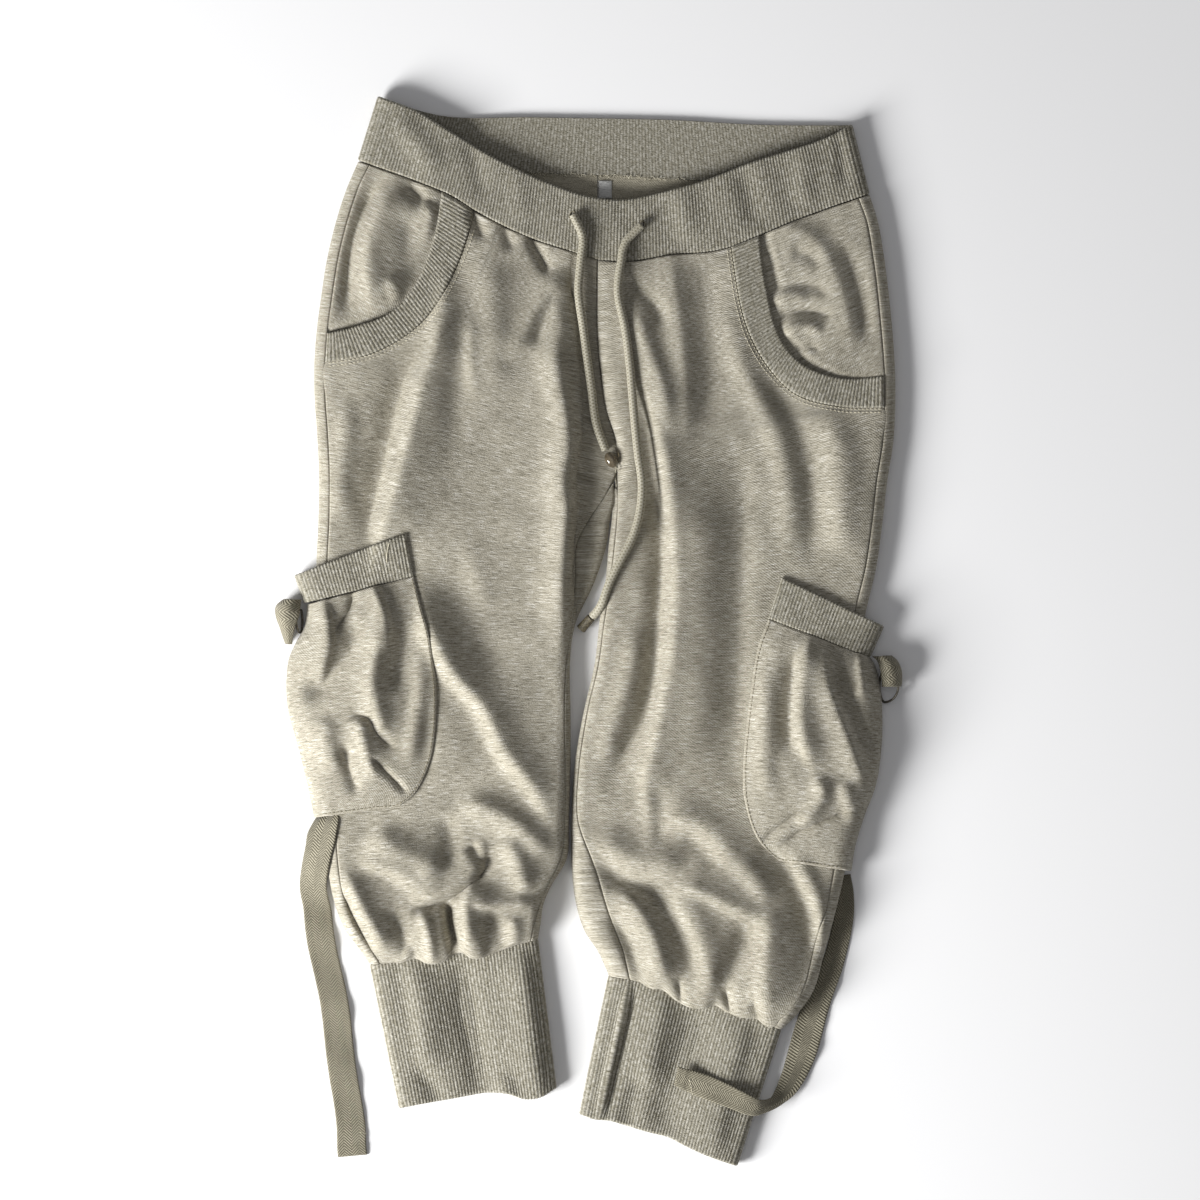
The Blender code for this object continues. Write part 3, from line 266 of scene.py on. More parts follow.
# Drawcord routes, each from its slit in the waistband to its free end: x, y, z
DRAWCORD = {
    "left": ((-11.6, 313, 15.3), (-4.5, 296, 15.3), (-5.6, 280, 15.0), (-7.5, 256.5, 14.6),
             (-4, 228, 12.4), (1.9, 185, 10.4), (6.4, 154, 9.7), (13, 136, 9.6)),
    "right": ((40, 305, 15.0), (27.4, 291, 15.2), (24.4, 277, 16.4), (22, 256.5, 16.8),
              (27.4, 228, 17.4), (31, 199.5, 18.0), (33.4, 171, 18.3), (37, 134, 18.4),
              (40, 109.5, 18.1), (38.6, 91, 18.2), (33.4, 72, 18.6), (23.6, 53, 18.8),
              (15, 35.5, 17.2), (9.5, 20.5, 14.3), (6.0, 15.0, 10.9), (2.6, 11.5, 8.3)),
}
CORD_TIP = ((2.0, 10.9, 8.0), (-5.8, 2.2, 4.3))    # wrapped tip of the right cord
BEAD = (17.0, 129.0, 10.8)                         # stopper on the left cord
BEAD_RADIUS = 4.6
# Inner label, sewn at the back waistband's seam: x, y of its corners
LABEL = ((7.5, 338.5), (17.5, 325.0))

# %% [markdown]
# ## Folds of the front layer
#
# A fold is a line on the laid cloth with a height at its middle, a reach to its right-hand and
# left-hand side as the line runs, and a crispness: near 1 gives a sharp crest, 2 a soft one and
# 4 a flat floor with steep sides.  Every fold dies away at both ends.  Troughs have a height
# below zero.  Most folds start at a seam, because that is where cloth is gathered or held.
# %% Fold tables of the panels
FOLDS = {
    "left": (
        (((-104, 276), (-109, 246), (-115, 216), (-124, 190), (-132, 158), (-138, 135),
          (-145, 106), (-154, 78), (-163, 36)), 6.4, 4.5, 28, 1.5),
        (((-122, 222), (-137, 190), (-148, 150), (-158, 108), (-170, 56)), -3.6, 13, 5, 2),
        (((-178, 180), (-184, 130), (-188, 80)), 1.8, 8, 8, 2),
        (((-88, 240), (-88, 205), (-86, 172)), 1.4, 5, 8, 1.6),
        (((-92, 288), (-96, 240), (-100, 190), (-104, 120)), -1.2, 9, 12, 2),
        (((-89, 322), (-85, 308), (-77, 292)), -2.5, 4, 4, 1.6),
        (((-64, 312), (-62, 300), (-56, 284)), -1.6, 5, 5, 1.6),
        (((-45, 304), (-41, 290), (-36, 281), (-28, 266)), -3, 4, 5, 1.6),
        (((-31, 270), (-27, 252), (-21, 232), (-24, 208), (-21, 184), (-17, 160), (-16, 138),
          (-20, 116), (-17, 92), (-19, 50), (-22, 10), (-21, -30)), 4.0, 12, 6, 1.8),
        (((-14, 275), (-30, 252), (-46, 228), (-64, 200)), 2.6, 9, 10, 1.7),
        (((-22, 262), (-34, 236), (-42, 212)), -1.6, 6, 6, 2),
        (((-74, 286), (-72, 250), (-70, 210), (-76, 170)), 2.0, 12, 12, 2),
        (((-130, 56), (-118, 0), (-102, -30), (-80, -55), (-62, -91), (-41, -117), (-22, -156)),
         4.8, 6, 16, 1.5),
        (((-110, 54), (-97, 22), (-78, -10), (-62, -44)), -1.3, 12, 14, 2),
        (((-92, 70), (-84, 44), (-74, 14)), 0.8, 8, 10, 1.8),
        (((-130, 34), (-120, -6), (-114, -44), (-112, -84), (-116, -122)), 2.2, 8, 24, 2),
        (((-102, -132), (-84, -130), (-62, -139), (-42, -154), (-24, -172)), 3.6, 12, 9, 1.8),
        (((-108, -134), (-103, -158), (-106, -180)), -1.7, 8, 7, 2),
        (((-168, -150), (-144, -164), (-122, -174), (-104, -180)), 3.4, 14, 12, 2),
        (((-172, -172), (-152, -176), (-136, -184), (-122, -196)), 1.6, 6, 6, 1.8),
        (((-80, -152), (-80, -166), (-87, -180), (-100, -190), (-116, -197), (-136, -202)),
         3.6, 12, 2.5, 1.5),
        (((-78, -160), (-76, -172), (-84, -186), (-98, -196), (-114, -203), (-136, -208)),
         -3.6, 2.5, 5, 1.6),
        (((-90, -158), (-84, -166), (-80, -176)), -2.8, 5, 4, 2),
        (((-64, -152), (-52, -174), (-45, -198)), 3.8, 9, 8, 1.7),
        (((-82, -180), (-92, -202), (-91, -224), (-89, -242)), 5.2, 3, 13, 1.4),
        (((-92, -202), (-72, -205), (-48, -203), (-38, -200)), 2.6, 3, 9, 1.5),
        (((-80, -210), (-73, -222), (-70, -240)), -2.8, 8, 10, 4),
        (((-104, -200), (-104, -214), (-98, -238)), -6.4, 5, 4, 3),
        (((-126, -208), (-121, -222), (-116, -244)), 2.8, 4, 5, 1.5),
        (((-182, -176), (-174, -198), (-163, -218), (-148, -244)), 4, 5, 10, 1.5),
        (((-184, -190), (-178, -208), (-168, -228), (-157, -246)), -3.4, 3, 3, 2),
        (((-150, -204), (-140, -224), (-134, -246)), -1.8, 6, 6, 2),
        (((-138, -234), (-134, -242), (-131, -252)), 2.2, 4, 4, 1.6),
        (((-58, -212), (-55, -224), (-54, -240)), 2.2, 4, 5, 1.6),
    ),
    "right": (
        (((61, 296), (63, 262), (67, 235), (70, 206), (72, 176), (73, 136)), 2.4, 13, 9, 1.7),
        (((86, 284), (88, 240), (90, 200), (90, 150)), -1.3, 9, 12, 2),
        (((24, 270), (36, 257), (48, 246), (58, 224)), -1.5, 5, 6, 2),
        (((31, 254), (37, 236), (45, 212), (56, 180), (59, 146)), 3, 9, 8, 1.8),
        (((33, 222), (42, 190), (50, 165), (55, 140), (59, 115), (63, 85), (65, 50), (65, 20),
          (61, -25), (55, -55), (49, -85), (43, -108), (45, -138), (49, -172)), 5.0, 4.5, 20, 1.4),
        (((28, 205), (36, 180), (43, 158), (48, 128), (53, 90), (55, 50), (52, 10), (48, -30),
          (42, -62), (28, -90), (18, -112)), -3.4, 9, 5, 2),
        (((60, -10), (49, -42), (36, -72), (24, -98), (14, -124)), -1.5, 9, 9, 2),
        (((38, 10), (29, -36), (17, -76), (8, -108)), 1.6, 8, 7, 2),
        (((99, 256), (108, 228), (115, 200), (127, 174), (139, 150), (146, 124), (151, 84),
          (149, 44)), 2.0, 9, 11, 1.8),
        (((124, 206), (140, 182), (155, 157), (162, 132), (168, 84), (168, 44)), -1.6, 8, 10, 2),
        (((176, 172), (186, 140), (190, 100), (188, 50)), 2.5, 10, 14, 2),
        (((112, 160), (113, 80), (112, 20), (110, -40), (108, -90), (105, -136)),
         -2.2, 22, 10, 2),
        (((86, 130), (88, 60), (88, 0), (84, -60), (76, -116)), 3, 20, 22, 2),
        (((54, -150), (66, -139), (80, -142), (95, -153), (108, -169), (116, -186)),
         2.5, 8, 14, 1.8),
        (((68, -150), (84, -163), (98, -180)), -1.0, 7, 8, 2),
        (((50, -112), (55, -140), (50, -164)), -1.0, 6, 9, 2),
        (((2, -146), (18, -162), (32, -170), (52, -173), (78, -171)), 2.5, 9, 12, 1.8),
        (((-2, -162), (14, -178), (28, -187), (42, -193), (56, -203), (66, -218), (74, -238),
          (85, -268)), -3.2, 9, 10, 2),
        (((14, -188), (32, -202), (44, -220), (52, -240), (58, -276)), 3.4, 12, 8, 1.6),
        (((12, -204), (26, -226), (36, -248), (44, -292)), -2.4, 7, 9, 2),
        (((50, -188), (68, -207), (80, -226), (88, -246), (99, -284)), 3.6, 10, 15, 1.7),
        (((62, -188), (88, -196), (112, -208), (134, -214)), 2.8, 5, 12, 1.5),
        (((126, -212), (116, -232), (108, -246), (102, -258), (98, -288)), -2.9, 9, 9, 2),
        (((132, -196), (135, -225), (133, -245), (133, -268), (131, -300)), 3.8, 9, 15, 1.7),
        (((122, -152), (140, -170), (154, -186), (163, -208), (167, -235), (156, -276)),
         -2.6, 11, 8, 2),
        (((110, -168), (124, -184), (137, -206)), 2, 8, 8, 2),
        (((150, -166), (165, -190), (174, -215), (172, -244)), 3, 5, 8, 1.8),
        (((66, -256), (69, -266), (71, -276)), -2.2, 3, 3, 1.6),
        (((101, -264), (105, -273), (108, -284)), -2.6, 3, 3, 1.6),
        (((122, -272), (127, -284), (131, -296)), -2.8, 3, 3, 1.6),
    ),
}
# A cargo pocket's pleats start at its rib band and its darts at its lower seam
BAG_FOLDS = {
    "left": (
        (((-199, 30), (-195, 6), (-194, -4), (-197, -21), (-204, -44)), 4, 10, 2.5, 1.5),
        (((-176, 34), (-180, 15), (-187, 6), (-193, -4)), -3.5, 3, 4, 1.6),
        (((-164, 42), (-156, 22), (-152, 9), (-151, -3), (-153, -18)), 4.5, 9, 2.5, 1.5),
        (((-155, 14), (-159, -13), (-162, -36), (-158, -58), (-155, -73), (-148, -86)),
         4.8, 8, 8, 1.6),
        (((-172, 14), (-183, -20), (-198, -38), (-216, -54)), -4.5, 10, 9, 2),
        (((-180, -62), (-163, -66), (-159, -75), (-154, -81), (-142, -89)), -4, 4, 4, 1.5),
        (((-172, -60), (-169, -81), (-165, -93), (-158, -112)), 4, 5, 6, 1.6),
        (((-168, -90), (-150, -106), (-133, -124)), -2.6, 2.5, 2, 1.5),
        (((-137, 8), (-141, -21), (-147, -48)), -4, 9, 7, 2),
        (((-128, -6), (-126, -40), (-130, -76), (-138, -104)), 2.5, 6, 6, 2),
        (((-200, -60), (-196, -84), (-188, -108)), 3, 9, 8, 2),
        (((-184, -80), (-180, -100), (-172, -124)), -3, 5, 5, 1.8),
    ),
    "right": (
        (((167, 4), (163, -18), (159, -39), (159, -73), (163, -88), (171, -110)),
         5, 3, 12, 1.5),
        (((155, -6), (152, -40), (150, -70), (152, -100)), -3.5, 8, 5, 2),
        (((176, -4), (179, -36), (186, -58), (195, -81), (203, -103), (214, -124)),
         4.5, 12, 3, 1.5),
        (((182, -8), (186, -36), (195, -60), (204, -82), (212, -102)), -3, 3, 7, 1.8),
        (((204, -10), (203, -30), (204, -42), (199, -52)), 3.5, 2.5, 7, 1.6),
        (((126, -159), (148, -142), (170, -126)), -2.8, 2, 2.5, 1.5),
        (((138, -161), (174, -141), (206, -129)), -3.6, 4, 2, 1.5),
        (((168, -104), (175, -122), (168, -134), (154, -144)), 3.8, 6, 6, 1.6),
        (((134, -20), (132, -60), (132, -100), (136, -130)), 2.6, 6, 8, 2),
        (((188, -110), (196, -128), (200, -146)), 2.5, 6, 6, 2),
    ),
}
# How far the ballooned cloth rolls down over each cuff's seam: x, reach
CUFF_ROLL = {
    "left": ((-165, 0), (-158, 0), (-148, 1.5), (-140, 3.5), (-131, 1), (-122, 7.5), (-108, 8),
             (-100, 2), (-95, 2), (-88, 8), (-72, 7), (-60, 4), (-50, 1), (-44, 0), (-38, 0)),
    "right": ((14, 0), (32, 0), (38, 1), (47, 5), (56, 2), (66, 7), (86, 7), (95, 1.5),
              (104, 6.5), (118, 6), (127, 1.5), (134, 4.5), (140, 1.5), (143, 0), (146, 0)),
}
for half in HALVES:
    print(half, "leg:", len(FOLDS[half]), "folds;", half, "pocket:", len(BAG_FOLDS[half]))

# %% [markdown]
# ## Curves and heights
#
# One smooth curve reads every table.  The front layer is a height over the table: it rises in a
# quarter ellipse at the side, stays nearly level, and comes down again at the inner leg.  The
# folds are added to that, so they fade at the garment's edges as real ones do.
# %% Curves and heights
def curve(keys, values, at):
    """Smooth curve through values at keys; the values may be numbers or rows of numbers."""
    slopes = np.gradient(values, keys, axis=0)
    i = np.clip(np.searchsorted(keys, at) - 1, 0, len(keys) - 2)
    span = keys[i + 1] - keys[i]
    t = (at - keys[i]) / span
    if values.ndim > 1:
        span, t = span[:, None], t[:, None]
    start = (1 + 2 * t) * (1 - t) ** 2 * values[i] + t * (1 - t) ** 2 * span * slopes[i]
    end = t * t * (3 - 2 * t) * values[i + 1] + t * t * (t - 1) * span * slopes[i + 1]
    return start + end


def through(table, at, column=1):
    """Curve through a table's rows: the given column's value at each first-column value."""
    rows = np.array(sorted(table), float)
    keys = rows[:, 0]
    return curve(keys, rows[:, column], np.clip(np.asarray(at, float), keys[0], keys[-1]))


def shoulder(distance, reach):
    """Elliptical rise from 0 at an edge to 1 at its reach, upright at the edge."""
    q = np.clip(distance / reach, 0, 1)
    return np.sqrt(q * (2 - q))


def eased(value):
    """Smooth step of a value held between 0 and 1."""
    value = np.clip(value, 0, 1)
    return value * value * (3 - 2 * value)


def run_of(steps):
    """How far along each point lies, from the lengths of the steps between them."""
    return np.concatenate([[0], np.cumsum(steps)])


def line_steps(line):
    """Lengths of a line's steps."""
    return np.linalg.norm(np.diff(line, axis=0), axis=1)


def smooth_route(points, count):
    """Evenly spaced points along a smooth curve through a given route."""
    route = np.array(points, float)
    lengths = run_of(line_steps(route))
    return curve(lengths, route, np.linspace(0, lengths[-1], count))


FOLD_TAPER = 0.26       # share of a fold's length over which each end dies away


def fold_height(x, y, folds):
    """Height that a set of ridges and troughs adds to the cloth at each place."""
    total = np.zeros(np.broadcast(x, y).shape)
    for points, height, right, left, crisp in folds:
        route = smooth_route(points, 4 * len(points))
        nearest = np.full(total.shape, np.inf)
        along = np.zeros(total.shape)
        on_left = np.zeros(total.shape, bool)
        for k in range(len(route) - 1):
            dx, dy = route[k + 1] - route[k]
            across_x, across_y = x - route[k, 0], y - route[k, 1]
            t = np.clip((across_x * dx + across_y * dy) / (dx * dx + dy * dy), 0, 1)
            gap = np.hypot(across_x - t * dx, across_y - t * dy)
            closer = gap < nearest
            nearest = np.where(closer, gap, nearest)
            along = np.where(closer, (k + t) / (len(route) - 1), along)
            on_left = np.where(closer, dx * across_y - dy * across_x > 0, on_left)
        taper = eased(np.minimum(along, 1 - along) / FOLD_TAPER)
        reach = np.where(on_left, left, right)
        total += height * taper * np.exp(-(nearest / reach) ** crisp)
    return total


def side_x(half, y):
    """Inner face of the cloth at the garment's side."""
    return through(SIDE[half], y) + INWARD[half] * JERSEY


def leg_inner_x(half, y):
    """Inner face of the cloth at the leg's inner edge."""
    return through(LEG_INNER[half], y) - INWARD[half] * JERSEY


def hand(x, y):
    """Slight unevenness of cloth smoothed by hand: a few long, low waves."""
    long_waves = 0.40 * np.sin(x / 17.0 + y / 41.0) + 0.35 * np.sin(y / 23.0 - x / 37.0 + 1.3)
    short_waves = (0.20 * np.sin(x / 8.0 - y / 13.0 + 0.6 + 1.2 * np.sin(y / 31.0))
                   + 0.12 * np.sin(x / 4.6 + y / 9.0 + 2.0 * np.sin(x / 27.0)))
    return long_waves + short_waves


FOLD_GAIN = 2.1         # how much deeper the folds lie than the first drawing of them
BAG_GAIN = 1.5          # the same for the pockets' pleats
LOWEST = 3.8            # the front layer's inner face never sinks nearer the table than this
EASE_OFF = 1.2          # how gradually it comes to rest there
CUFF_GATHER = 20.0      # how far above a cuff its seam still holds the cloth down
BACK_ROUND = 8.0        # reach of the rounding at a back panel's edges
WRAP_MARGIN = 6.0       # how far past a cargo pocket's hidden seam the back is fully lifted
POCKET_MARGIN = 8.0     # the same above and below the pocket
RUN_OUT = 22.0          # and how far that lift takes to die away


def above_floor(z):
    """Heights that ease off instead of sinking below the lowest one."""
    return LOWEST + np.log1p(np.exp(np.clip((z - LOWEST) / EASE_OFF, -30, 30))) * EASE_OFF


def front_z(half, x, y):
    """Height of the front layer's inner face."""
    x, y = np.asarray(x, float), np.asarray(y, float)
    inward = INWARD[half]
    section, fold = SECTION[half], INNER_FOLD[half]
    folded = FOLD_GAIN * fold_height(x, y, FOLDS[half]) + hand(x, y)
    loft = above_floor(through(section, y, 3) + folded)
    cuff_top = RIB + CUFF_HOLLOW
    above_cuff = y - through(CUFF_SEAM[half], x)
    loft = cuff_top + (loft - cuff_top) * shoulder(above_cuff, CUFF_GATHER)
    side = through(section, y, 1)
    from_side = (x - side_x(half, y)) * inward
    z = side + (loft - side) * shoulder(from_side, through(section, y, 2))
    low = through(fold, y, 2)
    from_fold = (through(fold, y, 1) - x) * inward
    return low + (z - low) * shoulder(from_fold, through(fold, y, 3))


def front_top(half, x, y):
    """Height of the front layer's outer face, allowing for its slope over a millimetre or two."""
    rise_x = (front_z(half, x + 1.0, y) - front_z(half, x - 1.0, y)) / 2.0
    rise_y = (front_z(half, x, y + 1.0) - front_z(half, x, y - 1.0)) / 2.0
    steep = np.sqrt(1 + np.clip(rise_x ** 2 + rise_y ** 2, 0, 2))
    return front_z(half, x, y) + JERSEY * steep


def pocket_lift(half, x, y):
    """How far the cargo pocket's hidden half lifts the back panel, with a soft run-out."""
    inward = INWARD[half]
    beyond = (x - (CARGO_WRAP[half] + WRAP_MARGIN * inward)) * inward
    top = CARGO_BAND[half][0][1] + POCKET_MARGIN
    foot = CARGO_BAG[half][-1][3] - POCKET_MARGIN
    outside = np.maximum(np.maximum(beyond, y - top), foot - y)
    return UNDER_POCKET * eased(1 - outside / RUN_OUT)


def back_z(half, x, y, from_edge, edge_z):
    """Height of the back layer's inner face, rising to edge_z at its rounded edge."""
    flat = JERSEY + pocket_lift(half, x, y)
    return flat + (edge_z - flat) * (1 - shoulder(from_edge, BACK_ROUND))


def arc(reach, start, end, count):
    """Distances in from a rounded edge, evenly turned between two angles in degrees."""
    return [reach * (1 - math.cos(math.radians(a))) for a in np.linspace(start, end, count)]


def angle_at(distance, reach):
    """The turn, in degrees, of the rounded edge at a distance in from it."""
    return math.degrees(math.acos(max(0.0, 1 - distance / reach)))


for half in HALVES:
    middle = -100.0 if half == "left" else 90.0
    print(half, "front layer stands", round(float(front_top(half, middle, 0.0)), 1), "mm high")

# %% [markdown]
# ## Cloth as a thin shell
#
# A pattern piece is a grid of given points.  It is filled in smoothly, closer together
# near a cut edge, and given its wall on the outer side.  The wall thins within a millimetre and
# a half of an edge, so two pieces that are sewn together meet in a soft groove, as a turned
# seam does.  Each corner carries its place on the flat cloth in metres, for the yarn patterns.
# %% Shells
EDGE_STEPS = (0.0, 0.35, 0.8, 1.4)      # mm in from a cut edge
EDGE_END = 2.4                          # where the even spacing starts


def grid_steps(grid, axis):
    """Mean length of each step between a grid's rows (axis 0) or its columns (axis 1)."""
    return np.linalg.norm(np.diff(grid[..., :3], axis=axis), axis=2).mean(axis=1 - axis)


def stations(keys, steps, spacing):
    """Places along keys about a spacing apart, with close ones at both ends."""
    total = float(np.sum(steps))
    count = max(2, round((total - 2 * EDGE_END) / spacing) + 1)
    middle = np.linspace(EDGE_END, total - EDGE_END, count)
    at = np.concatenate([EDGE_STEPS, middle, [total - d for d in EDGE_STEPS[::-1]]])
    return np.interp(at, run_of(steps), keys)


def weights(keys, steps, spacing, count=None):
    """Weights that fill in a line of points, to a spacing in mm or to a number of points."""
    if count:
        distance = run_of(steps)
        at = np.interp(np.linspace(0, distance[-1], count), distance, keys)
    else:
        at = stations(keys, steps, spacing)
    return curve(keys, np.eye(len(keys)), at)


def more_rows(grid, spacing, count=None):
    """A grid with more rows."""
    keys = np.arange(len(grid), dtype=float)
    return np.einsum("nr,rck->nck", weights(keys, grid_steps(grid, 0), spacing, count), grid)


def filled(points, spacing, rows=None, columns=None):
    """A coarse grid of points filled in smoothly, to a spacing in mm or to a number of lines."""
    grid = np.array(points, float)
    steps = grid_steps(grid, 1)
    share = weights(run_of(steps), steps, spacing, columns)
    return more_rows(np.einsum("nc,rck->rnk", share, grid), spacing, rows)


def filled_ring(rings, columns, spacing):
    """Rings of points filled in round the ring to a number of columns, and along to a spacing."""
    grid = np.array(rings, float)
    count = grid.shape[1]
    padded = np.concatenate([grid[:, -4:], grid, grid[:, :5]], axis=1)
    keys = run_of(grid_steps(padded, 1))
    at = np.linspace(keys[4], keys[4 + count], columns, endpoint=False)
    share = curve(keys, np.eye(len(keys)), at)
    return more_rows(np.einsum("nc,rck->rnk", share, padded), spacing)


def placed(name, data):
    """A new object in the scene that shows the given mesh, lamp or camera."""
    thing = bpy.data.objects.new(name, data)
    bpy.context.scene.collection.objects.link(thing)
    return thing


def outward(grid, closed, facing):
    """Unit normals of a grid that point up, down or out, and 1 or -1 for the way it winds."""
    across = np.gradient(grid, axis=1)
    if closed:
        across = np.roll(grid, -1, axis=1) - np.roll(grid, 1, axis=1)
    normal = np.cross(across, np.gradient(grid, axis=0))
    normal = normal / np.maximum(np.linalg.norm(normal, axis=2, keepdims=True), 1e-9)
    if facing == "out":
        lean = (normal * (grid - grid.reshape(-1, 3).mean(axis=0))).sum()
    else:
        lean = normal[..., 2].sum() * (1 if facing == "up" else -1)
    sign = 1.0 if lean >= 0 else -1.0
    return normal * sign, sign


def edge_thinning(grid, closed):
    """Share of the wall kept near a cut edge: 0.35 at the edge, 1 from 1.5 mm in."""
    down = run_of(grid_steps(grid, 0))
    near = np.minimum(down, down[-1] - down)[:, None] * np.ones(grid.shape[:2])
    if not closed:
        over = run_of(grid_steps(grid, 1))
        near = np.minimum(near, np.minimum(over, over[-1] - over)[None, :])
    return 0.35 + 0.65 * shoulder(near, 1.5)


def shell_faces(index, closed, sign):
    """Faces of a closed shell whose two skins are numbered alike: inner, outer, then the rims."""
    ring = np.append(index, index[:, :1], axis=1) if closed else index
    quads = np.stack([ring[:-1, :-1], ring[:-1, 1:], ring[1:, 1:], ring[1:, :-1]],
                     axis=-1).reshape(-1, 4)
    total = index.size
    skins = [quads[:, ::-1], quads + total] if sign > 0 else [quads, quads[:, ::-1] + total]
    rims = [(ring[0], False), (ring[-1], True)]
    if not closed:
        rims += [(index[:, 0], True), (index[:, -1], False)]
    for line, turned in rims:
        p, q = line[:-1], line[1:]
        face = np.stack([p, q, q + total, p + total], axis=-1)
        skins.append(face[:, ::-1] if turned != (sign < 0) else face)
    return np.concatenate(skins), len(quads)


def flat_places(grid, faces, closed):
    """Each face corner's place on the flat cloth, in metres."""
    columns = grid.shape[1]
    over, down = run_of(grid_steps(grid, 1)), run_of(grid_steps(grid, 0))
    corner = faces.ravel() % (len(grid) * columns)
    u = over[corner % columns].reshape(-1, 4)
    if closed:
        seam_step = float(np.linalg.norm(grid[:, 0] - grid[:, -1], axis=1).mean())
        crosses = (u.max(axis=1) - u.min(axis=1)) > over[-1] / 2
        u = np.where(crosses[:, None] & (u < over[-1] / 2), over[-1] + seam_step, u)
    return np.stack([u.ravel(), down[corner // columns]], axis=-1) * MM


def make_shell(name, inner, wall, facing="up", closed=False, relief=0.0, materials=()):
    """Closed thin shell: the grid is its inner face, and the wall is added on the outer side.

    Of two materials, the second goes on the inner face."""
    grid = np.asarray(inner, float)
    normal, sign = outward(grid, closed, facing)
    thickness = wall * edge_thinning(grid, closed) + relief
    outer = grid + normal * thickness[..., None]
    verts = np.concatenate([grid.reshape(-1, 3), outer.reshape(-1, 3)]) * MM
    total = len(verts) // 2
    faces, inside = shell_faces(np.arange(total).reshape(grid.shape[:2]), closed, sign)
    mesh = bpy.data.meshes.new(name)
    mesh.vertices.add(len(verts))
    mesh.vertices.foreach_set("co", verts.ravel())
    mesh.loops.add(faces.size)
    mesh.loops.foreach_set("vertex_index", faces.ravel().astype(np.int32))
    mesh.polygons.add(len(faces))
    mesh.polygons.foreach_set("loop_start", np.arange(0, faces.size, 4, dtype=np.int32))
    mesh.polygons.foreach_set("loop_total", np.full(len(faces), 4, dtype=np.int32))
    mesh.update()
    layer = mesh.uv_layers.new(name="cloth")
    layer.data.foreach_set("uv", flat_places(grid, faces, closed).ravel())
    outside = np.repeat([0.0, 1.0], total)
    mesh.attributes.new("outside", "FLOAT", "POINT").data.foreach_set("value", outside)
    for material in materials:
        mesh.materials.append(material)
    if len(materials) == 2:
        lined = np.zeros(len(faces), np.int32)
        lined[:inside] = 1
        mesh.polygons.foreach_set("material_index", lined)
    mesh.shade_smooth()
    return placed(name, mesh)


def set_float(thing, name, values):
    """Stores one number for each point of a piece, the same on both faces of a shell."""
    values = np.asarray(values, float).ravel()
    count = len(thing.data.vertices)
    if len(values) * 2 == count:
        values = np.concatenate([values, values])
    thing.data.attributes.new(name, "FLOAT", "POINT").data.foreach_set("value", values)

# %% [markdown]
# ## Colours and small node helpers
#
# Colours are picked as the sRGB hex a colour card would give, and one function turns them into
# the linear values that shaders add up.  One helper adds a node, sets it and wires its inputs.
# %% Helpers for materials and trees
def linear(code):
    """Linear RGBA of an sRGB hex colour."""
    parts = [int(code[k:k + 2], 16) / 255 for k in (1, 3, 5)]
    return (*[p / 12.92 if p <= 0.04045 else ((p + 0.055) / 1.055) ** 2.4 for p in parts], 1.0)


def add_node(tree, kind, wires=None, **settings):
    """Adds a node, sets its properties, and wires or fills its inputs by name or number."""
    node = tree.nodes.new(kind)
    for key, value in settings.items():
        setattr(node, key, value)
    for key, value in (wires or {}).items():
        if isinstance(value, bpy.types.NodeSocket):
            tree.links.new(value, node.inputs[key])
        else:
            node.inputs[key].default_value = value
    return node


def new_material(name, **values):
    """A material whose Principled shader has the given plain values; returns it and its parts."""
    material = bpy.data.materials.new(name)
    material.use_nodes = True
    tree = material.node_tree
    shader = tree.nodes["Principled BSDF"]
    for key, value in values.items():
        shader.inputs[key.replace("_", " ")].default_value = value
    return material, tree, shader


def cloth_place(tree, scale, turn=0.0):
    """The piece's own flat-cloth coordinates, scaled to pattern repeats of so many metres."""
    place = add_node(tree, "ShaderNodeUVMap", uv_map="cloth")
    repeats = tuple(1.0 / s for s in scale) + (1.0,)
    return add_node(tree, "ShaderNodeMapping",
                    {"Vector": place.outputs[0], "Scale": repeats,
                     "Rotation": (0.0, 0.0, math.radians(turn))}).outputs[0]


def noise(tree, vector, detail=2.0, roughness=0.5, distortion=0.0):
    """Noise of about one blob per unit of its vector."""
    node = add_node(tree, "ShaderNodeTexNoise",
                    {"Vector": vector, "Scale": 1.0, "Detail": detail, "Roughness": roughness,
                     "Distortion": distortion}, noise_dimensions="2D")
    return node.outputs["Fac"]


def ramp(tree, value, low, high):
    """0 below low and 1 above high, with an eased step between them."""
    return add_node(tree, "ShaderNodeMapRange",
                    {"Value": value, "From Min": low, "From Max": high},
                    interpolation_type="SMOOTHSTEP").outputs["Result"]


def times(tree, a, b=0.0, operation="MULTIPLY"):
    """One arithmetic step on one or two values."""
    return add_node(tree, "ShaderNodeMath", {0: a, 1: b}, operation=operation).outputs[0]


def wave_of(tree, turns, operation="COSINE"):
    """A wave between -1 and 1 that repeats once a turn."""
    return times(tree, times(tree, turns, 2 * math.pi), operation=operation)


def speckle(tree, scale, detail=2.0):
    """Noise in the piece's own space, with about so many blobs to a metre."""
    place = add_node(tree, "ShaderNodeTexCoord").outputs["Object"]
    return add_node(tree, "ShaderNodeTexNoise",
                    {"Vector": place, "Scale": scale, "Detail": detail}).outputs["Fac"]


def mixed(tree, factor, first, second):
    """A colour between two colours; each may be a hex code or a wired colour."""
    first, second = (linear(c) if isinstance(c, str) else c for c in (first, second))
    return add_node(tree, "ShaderNodeMix", {0: factor, 6: first, 7: second},
                    data_type="RGBA").outputs[2]


